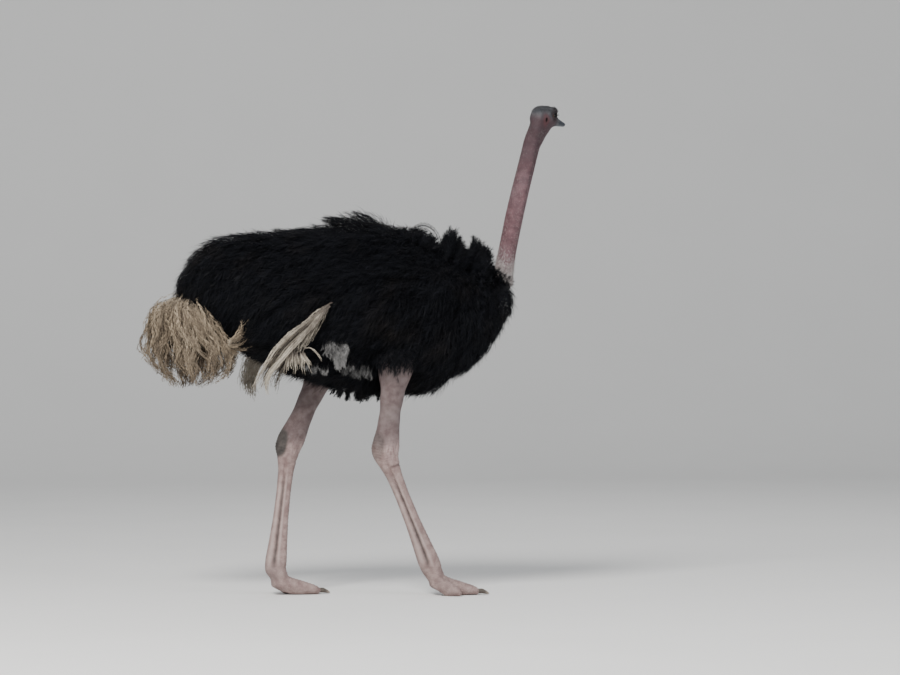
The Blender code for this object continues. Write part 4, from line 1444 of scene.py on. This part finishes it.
def tail_side_tuft(side, material):
    """Small ragged pale locks that flick ahead and up where the tail meets the haunch."""
    sign = SIDES[side]
    locks, each = 13, 5
    count, owner = locks * each, np.repeat(np.arange(locks), each)
    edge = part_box("tail")[1].x
    share = np.linspace(0, 1, 9)[None, :]
    aim = np.radians(np.linspace(34, -62, locks) + RNG.normal(0, 11, locks))[owner][:, None]
    reach = (0.058 * varied(0.24, locks))[owner][:, None]
    flick = RNG.uniform(-0.006, 0.040, locks)[owner][:, None]
    apart = RNG.normal(0, 0.0055, (count, 2))[:, :, None] * mix(1.0, 0.3, share)[:, None, :]
    x = edge - 0.055 + reach * share * np.cos(aim) + apart[:, 0]
    z = mix(1.096, 1.040, owner / locks)[:, None] + reach * share * np.sin(aim)
    z = z + flick * share ** 3 + apart[:, 1]
    beside = widest(np.full(locks, edge), np.linspace(1.12, 1.04, locks), 0.012)[owner][:, None]
    y = beside + mix(-0.010, 0.022, share) + RNG.uniform(-0.005, 0.008, (count, 1))
    lines = waved(np.stack([x, sign * y, z], -1), 0.009, 0.06)
    out = astray(np.array([0.0, sign, 0.0]), 0.3, count)
    tone = RNG.choice([0.20, 0.65, 0.95], locks)[owner] + RNG.normal(0, 0.10, count)
    part = plumes(lines, out, np.full(count, 0.0065), 20, 0.0016, open_angle=(34, 12), sag=0.1,
                  uv=body_map(lines[:, 0]), tone=np.clip(tone, 0, 1))
    coat("tail_side_tuft_" + side, [part], material)


def fringe_quills(spot):
    """One of the small tufts that hang from the leaf of quills, counted from its rear."""
    start = (0.42 + 0.014 * spot, 0.47 - 0.01 * (spot % 3))
    bend = (0.39 + 0.021 * spot, 0.36)
    tip = (0.36 + 0.027 * spot, 0.19 + 0.09 * (spot * 7 % 10) / 10)
    return (start, bend, tip), 4, (0.012, 0.009, 0.003), 0.50, 0.0050, 16, 0.95 - 0.25 * (spot % 3), 0.5


# Each lock of quills: its run, as shares across and up the node's box, then how many quills, its
# breadth at root, middle and tip, the least length, half a vane's width, barbs, paleness, and how
# far out from the fan's middle it lies.
QUILL_LOCKS = (
    (((0.92, 0.97), (0.80, 0.88), (0.60, 0.76), (0.40, 0.64), (0.25, 0.49), (0.13, 0.33),
      (0.04, 0.18), (-0.02, 0.05)), 16, (0.010, 0.020, 0.016), 0.86, 0.0070, 54, 0.85, 0.5),
    (((0.88, 0.93), (0.72, 0.80), (0.52, 0.68), (0.35, 0.54), (0.22, 0.38), (0.13, 0.25),
      (0.07, 0.12)), 9, (0.008, 0.010, 0.008), 0.86, 0.0050, 54, 0.05, 0.6),
    (((0.88, 0.93), (0.74, 0.80), (0.56, 0.66), (0.39, 0.52), (0.27, 0.38), (0.18, 0.26),
      (0.11, 0.15), (0.05, 0.04)), 11, (0.010, 0.014, 0.010), 0.82, 0.0060, 54, 0.70, 0.3),
    (((0.87, 0.92), (0.75, 0.78), (0.58, 0.63), (0.43, 0.49), (0.30, 0.36), (0.18, 0.24),
      (0.125, 0.12), (0.16, -0.01)), 17, (0.010, 0.016, 0.015), 0.88, 0.0070, 54, 0.90, 0.7),
    (((0.80, 0.80), (0.64, 0.58), (0.48, 0.42), (0.36, 0.28), (0.28, 0.15), (0.27, 0.02)),
     20, (0.010, 0.030, 0.036), 0.80, 0.0090, 40, 0.02, -0.7),
    (((0.91, 0.97), (0.81, 0.87), (0.69, 0.74), (0.59, 0.60), (0.53, 0.44)),
     58, (0.008, 0.032, 0.058), 0.45, 0.0110, 30, 0.50, 0.4),
    (((0.96, 1.00), (0.92, 0.985), (0.87, 0.950), (0.83, 0.90)),
     4, (0.004, 0.004, 0.004), 0.90, 0.0040, 20, 0.10, 0.7),
    (((0.60, 0.50), (0.66, 0.515), (0.72, 0.490), (0.77, 0.44), (0.81, 0.37)),
     4, (0.004, 0.007, 0.010), 0.75, 0.0040, 24, 0.90, 0.7),
    *(fringe_quills(spot) for spot in range(14)))
FAR_LOCK = (((0.74, 0.84), (0.46, 0.68), (0.22, 0.48), (0.09, 0.30), (0.05, 0.12), (0.05, -0.04)),
            80, (0.008, 0.060, 0.070), 0.85, 0.012, 44, 1.40, 0.0)


def wing_quills(side, material):
    """Pale plumes from the tip of the folded wing: a leaf of them, long strands and a fringe."""
    fan = Profile(["quills_" + side], 2)
    low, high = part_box("quills_" + side)
    near, sign = side == "right", SIDES[side]
    levels = np.linspace(0, 1, 18)[None, :]
    parts = []
    for lock in QUILL_LOCKS if near else (*QUILL_LOCKS, FAR_LOCK):
        run, count, breadth, least, vane, barbs, pale, tuck = lock
        run, count = np.array(run), some(count)
        at = levels * RNG.uniform(least, 1.0, count)[:, None]
        steps = np.linspace(0, 1, len(run))
        wide = np.interp(levels, (0, 0.5, 1), breadth)
        apart = RNG.normal(0, 1, (count, 1)).clip(-2, 2) * wide
        x = np.interp(at, steps, run[:, 0]) + apart * 0.75
        rise = np.interp(at, steps, run[:, 1]) - apart * 0.55
        height = mix(low.z, high.z, rise)
        middle, half = fan(height)
        y = np.abs(middle[..., 1]) + half[..., 1] * (tuck + RNG.uniform(-0.3, 0.3, (count, 1)))
        lines = np.stack([mix(low.x, high.x, x), sign * y, height], -1)
        for _ in range(2):
            soften(lines.swapaxes(0, 1))
        out = astray(np.array([-0.2, sign, 0.1]), 0.28, count)
        # The far side's quills are painted darker, as painted shade of the body over them.
        far_side_shade, patchy = (1.0, 0.18) if near else (0.40, 0.06)
        tone = np.clip(pale * far_side_shade + RNG.normal(0, patchy, count), 0, 1)
        places = np.stack([0.30 + 0.1 * at[:, -1], np.full(count, 0.5 + sign * 0.24)], -1)
        parts.append(plumes(waved(lines, 0.0045, 0.13), out, np.full(count, vane), barbs, 0.0015,
                            open_angle=(28, 8), sag=0.25, curl=0.7, ragged=0.35, twist=0.6, first=0.04,
                            shaft=0.0022, uv=places, tone=tone))
    coat("white_quills_" + side, parts, material, ["quills_" + side])


WISPS = (       # how many wisps and tufts, where along x, y and z, length, paleness
    (54, 5, (-0.152, -0.112), 0.28, (1.040, 1.100), 0.080, 0.42),
    (80, 6, (-0.130, -0.076), 0.28, (1.012, 1.080), 0.088, 1.00),
    (22, 9, (-0.246, -0.150), 0.16, (0.975, 1.010), 0.034, 0.75),
    (60, 5, (-0.066, 0.010), 0.20, (0.975, 1.015), 0.060, 0.28))


def flank_wisps(side, material):
    """Greyish-white and grey under-wing tufts that show through the flank behind the thigh."""
    sign = SIDES[side]
    parts = []
    for count, tufts, x_range, y, z_range, length, pale in WISPS:
        count = some(count)
        owner = np.arange(count) % tufts
        middles = np.linspace(*x_range, tufts) + RNG.normal(0, 0.006, tufts)
        x = middles[owner] + RNG.normal(0, 0.010, count)
        z = RNG.uniform(*z_range, count)
        roots = np.stack([x, np.full(count, sign * y), z], -1)
        lengths = (length * varied(0.22, tufts))[owner][:, None]
        lengths = lengths * varied(0.12, (count, 1))
        levels = np.linspace(0, 1, 8)[None, :]
        gather = (middles[owner] - x)[:, None] * levels ** 2 * 0.10
        lean = RNG.uniform(-0.22, 0.12, tufts)[owner][:, None]
        lines = np.stack([roots[:, :1] + gather + lean * lengths * levels, roots[:, 1:2] + 0 * levels,
                          roots[:, 2:] - lengths * levels], -1)
        rise = mix(-0.025, RNG.uniform(0.006, 0.020, count)[:, None], ease(levels, 0.0, 0.40))
        lines = TORSO.onto(lines.reshape(-1, 3), rise.reshape(-1), 5).reshape(lines.shape)
        out = astray(np.array([0.0, sign, 0.0]), 0.25, count)
        parts.append(plumes(waved(lines, 0.005, 0.08), out, np.full(count, 0.012), 24, 0.0014,
                            open_angle=(30, 9), sag=0.5, uv=body_map(roots),
                            tone=np.clip(pale + RNG.normal(0, 0.16, count), 0, 1)))
    coat("flank_wisps_" + side, parts, material)


# ---------------------------------------------------------------- neck and head coverings
NECK_DOWN = (       # how many wisps, lowest and highest root, length, breadth, how fast they thin out
    (8000, 1.34, 2.00, 0.0070, 0.00042, 0.3),
    (6500, NECK_ROOT - 0.004, 1.49, 0.016, 0.0009, 2.4),
    (1100, NECK_ROOT - 0.004, 1.365, 0.024, 0.0012, 0.6))


def neck_down(material, skin):
    """Short sparse down on the neck, thicker and paler in a collar above the breast."""
    points, normals = surface(skin.data)
    centre = NECK(points[:, 2])[0]
    height = above_collar(points) + NECK_ROOT
    bare_skin = off_middle(NECK, points, 0) < 1.25
    parts = []
    for count, low, high, length, thick, fade in NECK_DOWN:
        count = int(count * SHARE)
        chance = np.clip((high - height) / (high - low), 0, 1) ** fade * (height > low) * bare_skin
        chosen = RNG.choice(len(points), count, p=chance / chance.sum())
        roots, out = points[chosen] + RNG.normal(0, 0.0012, (count, 3)), normals[chosen]
        heading = astray(np.array([-0.1, 0, -1.0]) + out * 0.42, 0.28, count)
        lengths = length * varied(0.25, count)
        lengths *= mix(1.0, 0.45, (height[chosen] - low) / (high - low))
        turn = turn_about(roots, centre[chosen])
        places = np.stack([0.5 + 0.48 * turn / math.pi, 0.02 + 0.96 * (roots[:, 2] - 1.2) / 0.9], -1)
        parts.append(hairs(roots - out * 0.0008, heading, out, lengths, np.full(count, thick), -out * 0.4,
                           places, 0.62 + RNG.normal(0, 0.25, count)))
    coat("neck_down", parts, material)


def head_bristles(material, skin):
    """Hair-like feathers: dense on the crown and nape, few on the cheeks, a fringe at the ear."""
    points, normals = surface(skin.data)
    at = moved(points, TO_HEAD)
    ahead, side, up = at[:, 0], np.abs(at[:, 1]), at[:, 2]
    near = (np.abs(ahead + 0.02) < 0.09) & (up > -0.13) & (side < 0.055)
    nape = ease(-ahead, 0.045, 0.065) * ease(up, -0.10, -0.03)
    density = 0.10 + 0.90 * ease(up, -0.005, 0.020) + 0.45 * nape
    density *= ease(-ahead, -0.052, -0.034) * ease(up, -0.12, -0.06)
    density *= 1 - np.exp(-(np.hypot(ahead, up * 1.1) / 0.0215) ** 6) * (side > 0.02)
    density *= 1 - 0.9 * bell(ear_distance(at), 0, 0.006)
    count = int(7000 * SHARE)
    chance = density * near
    chosen = RNG.choice(len(points), count, replace=False, p=chance / chance.sum())
    roots, out, ahead, up = points[chosen], normals[chosen], ahead[chosen], up[chosen]
    bill_way = np.array(HEAD.to_3x3().col[0])
    flow = -bill_way + np.array([0, 0, -0.25])
    flow = flow + (DOWN - flow) * ease(-ahead, 0.055, 0.080)[:, None]
    facing = ease(out @ bill_way, 0.1, 0.8) * ease(up, -0.02, 0.01)
    flow = flow - 1.6 * DOWN * facing[:, None]
    flow = unit(flow - out * np.sum(out * flow, -1, keepdims=True))
    high = ease(up, 0.0, 0.025)
    heading = astray(flow + out * (0.30 + 0.25 * high)[:, None], 0.20, count)
    lengths = (0.0045 + 0.0055 * high) * varied(0.22, count)
    turn = np.arctan2(up + 0.01, at[chosen, 1])
    places = np.stack([0.02 + 0.96 * (ahead + 0.11) / 0.18, 0.5 + 0.48 * turn / math.pi], -1)
    part = hairs(roots - out * 0.0006, heading, out, lengths, np.full(count, 0.00060), -out * 0.35,
                 places, 0.5 + RNG.normal(0, 0.25, count))
    coat("head_bristles", [part], material)


def lashes(side, material):
    """Stiff black lashes along the upper lid's edge."""
    count, sign = 54, SIDES[side]
    turn = np.linspace(0.10, math.pi - 0.10, count) + RNG.normal(0, 0.02, count)
    ahead = 0.0134 * np.cos(turn)
    up = 0.0096 * np.sin(turn) * (1 - 0.16 * np.cos(turn) ** 2)
    beside = np.sqrt((EYE_RADIUS + LASH_ROOT) ** 2 - ahead ** 2 - up ** 2)
    local = np.stack([ahead, sign * (EYE_ACROSS + beside), up], -1)
    out = unit(np.stack([ahead * 0.6, sign * beside, up], -1))
    fan = np.stack([0.5 * np.cos(turn), 0 * turn, 0.05 + 0 * turn], -1)
    turned = np.array(HEAD.to_3x3()).T
    heading, out = astray(out + fan, 0.08, count) @ turned, out @ turned
    part = hairs(moved(local, HEAD), heading, out, 0.0095 * varied(0.15, count),
                 np.full(count, 0.00055), np.array([0, 0, 0.45]) + out * 0.1,
                 np.stack([0.5 + ahead, 0.5 + up], -1), 0.5 + RNG.normal(0, 0.2, count))
    coat("lashes_" + side, [part], material)


# ---------------------------------------------------------------- eyes, bill and claws
def eyeball(side, material):
    """A glossy ball with a slightly raised cornea over a brown iris."""
    lean, turn = np.linspace(0, math.pi, 49)[:, None], circle(64)[None, :]
    gaze = np.cos(lean) + 0 * turn
    radius = (EYE_RADIUS - LID_GAP) * (1 + 0.035 * ease(gaze, 0.70, 0.95))
    rings = np.stack([radius * np.sin(lean) * np.cos(turn), SIDES[side] * (EYE_ACROSS + radius * gaze),
                      radius * np.sin(lean) * np.sin(turn)], -1)
    points, faces = shell(rings[1:-1])
    marks = np.concatenate([gaze[1:-1].ravel(), [1.0, -1.0]])
    mesh = mesh_of("eyeball_" + side, moved(points, HEAD), faces, gaze=marks)
    piece("eyeball_" + side, mesh, material, ["eye_" + side])


def bill_half(name, node, material, is_upper):
    """One mandible: broad at the gape, a low ridge on top, and a blunt nail at its tip."""
    line = Profile([node], 0, TO_HEAD, steps=50)
    levels = np.linspace(line.start - 0.006, line.stop - 0.0003, 90)[:, None]
    middle, half = line(np.clip(levels[:, 0], line.start + 0.004, line.stop))
    share = np.clip((levels - line.start) / (line.stop - line.start), 0, 1)
    up, fullness = (1, 0.90) if is_upper else (-1, 0.80)
    turn = circle(72)[None, :]
    c, s = np.cos(turn), np.sin(turn)
    arch = np.clip(s, 0, 1) ** 0.85
    ridge = 1 + 0.07 * bell(c, 0, 0.30) * (1 - share) + 0.10 * bell(share, 0.93, 0.07)
    nostril = bell(share, 0.34, 0.12) * bell(np.abs(c), 0.76, 0.09) * (s > 0) * is_upper
    rise = 2 * half[:, 2:] * fullness * arch * ridge - 0.0009 * np.clip(-s, 0, 1) ** 0.5
    z = middle[:, 2:] - up * half[:, 2:] + up * (rise - 0.0030 * nostril)
    y = half[:, 1:2] * np.sign(c) * np.abs(c) ** 0.88 * (1 - 0.09 * nostril)
    points, faces = shell(np.stack([np.broadcast_to(levels, y.shape), y, z], -1))
    # The nostrils are darkened, as painted shade in their dents; the tip is worn pale.
    worn = 0.28 + 0.7 * bell(share, 1.0, 0.22) + 0.15 * arch - 1.6 * nostril
    marks = np.concatenate([np.clip(worn, 0, 1).ravel(), [0, 1]])
    mesh = mesh_of(name, moved(points, HEAD), faces, tone=marks)
    piece(name, mesh, material, [node])


def claw(side, material):
    """The big toe's nail: blunt, ridged along its top and worn pale at the edge."""
    line = Profile(["claw_" + side], 0, steps=30)
    levels = np.linspace(line.start - 0.010, line.stop - 0.0004, 46)[:, None]
    middle, half = line(np.clip(levels[:, 0], line.start + 0.009, line.stop))
    share = np.clip((levels - line.start) / (line.stop - line.start), 0, 1)
    turn = circle(40)[None, :]
    c, s = np.cos(turn), np.sin(turn)
    swell = 1 + 0.05 * bell(np.abs(c), 0, 0.35) * (s > 0)
    y = middle[:, 1:2] + half[:, 1:2] * np.sign(c) * np.abs(c) ** 0.85
    z = middle[:, 2:] + half[:, 2:] * s * swell
    points, faces = shell(np.stack([np.broadcast_to(levels, y.shape), y, z], -1))
    worn = np.broadcast_to(ease(share, 0.45, 1.0), y.shape)
    mesh = mesh_of("nail_" + side, points, faces, tone=np.concatenate([worn.ravel(), [0, 1]]))
    piece("nail_" + side, mesh, material, ["claw_" + side])


# ---------------------------------------------------------------- studio
def make_camera():
    lens = bpy.data.cameras.new("camera")
    lens.angle = FIELD
    camera = bpy.data.objects.new("camera", lens)
    bpy.context.scene.collection.objects.link(camera)
    level = Vector((-math.sin(SWING), math.cos(SWING), 0))
    look = level * math.cos(TILT) + Vector((0, 0, math.sin(TILT)))
    beside = look.cross(Vector((0, 0, 1))).normalized()
    turned = Matrix((beside, beside.cross(look), -look)).transposed().to_4x4()
    turned.translation = Vector((AIM_AHEAD, 0, EYE_LEVEL)) - level * STAND_OFF
    camera.matrix_world = turned
    bpy.context.scene.camera = camera


def soft_light(name, place, size, power, colour=(1, 1, 1)):
    lamp = bpy.data.lights.new(name, "AREA")
    lamp.shape, lamp.size, lamp.energy, lamp.color = "DISK", size, power, colour
    made = bpy.data.objects.new(name, lamp)
    made.location = place
    body = Vector((0, 0, 1.1))
    made.rotation_euler = (body - Vector(place)).to_track_quat("-Z", "Y").to_euler()
    bpy.context.scene.collection.objects.link(made)


def sweep():
    """A pale floor that curves up into a backdrop behind the bird."""
    near, depth, bend, rise, wide = -30.0, 9.0, 4.0, 14.0, 40.0
    turn = np.linspace(0, math.pi / 2, 24)
    line = np.concatenate([[[near, 0.0]],
                           np.stack([depth + bend * np.sin(turn), bend * (1 - np.cos(turn))], -1),
                           [[depth + bend, rise]]])
    points = np.concatenate([np.insert(line, 0, x, axis=1) for x in (-wide, wide)])
    start = np.arange(len(line) - 1)[:, None]
    far = start + len(line)
    faces = np.concatenate([np.hstack([start, far, far + 1]), np.hstack([start, far + 1, start + 1])])
    mesh = mesh_of("floor", points, faces)
    mesh.materials.append(floor_finish())
    made = bpy.data.objects.new("floor", mesh)
    bpy.context.scene.collection.objects.link(made)


def make_studio():
    sweep()
    soft_light("key", (-3.2, -6.0, 6.8), 3.0, 1050, (1.0, 0.98, 0.95))
    soft_light("fill", (6.0, -5.0, 3.2), 5.0, 200, (0.95, 0.97, 1.0))
    soft_light("back", (2.5, 5.5, 5.5), 4.0, 60)
    world = bpy.data.worlds.new("studio")
    world.use_nodes = True
    background = world.node_tree.nodes["Background"]
    background.inputs["Color"].default_value = (0.88, 0.90, 0.93, 1)
    background.inputs["Strength"].default_value = 0.48
    bpy.context.scene.world = world


# ---------------------------------------------------------------- the bird
def make_bird():
    black, pale, buff = black_plume_finish(), pale_plume_finish(), buff_plume_finish()
    grey = grey_plume_finish()
    skin = make_skin(skin_finish())
    black_coat(black)
    thigh_fringes(black)
    belly_fringe(black)
    shoulder_tufts(black)
    tail_plumes(buff)
    horn = horn_finish("bill_horn", (0.010, 0.012, 0.016), (0.060, 0.072, 0.094), 0.42)
    nail = horn_finish("claw_horn", (0.05, 0.04, 0.033), (0.30, 0.25, 0.20), 0.48)
    bill_half("upper_mandible", "bill_upper", horn, True)
    bill_half("lower_mandible", "bill_lower", horn, False)
    ball, lash = eye_finish(), lash_finish()
    for side in SIDES:
        wing_quills(side, pale)
        flank_wisps(side, grey)
        tail_side_tuft(side, buff)
        eyeball(side, ball)
        lashes(side, lash)
        claw(side, nail)
    neck_down(down_finish(), skin)
    head_bristles(bristle_finish(), skin)


make_camera()
make_studio()
make_bird()
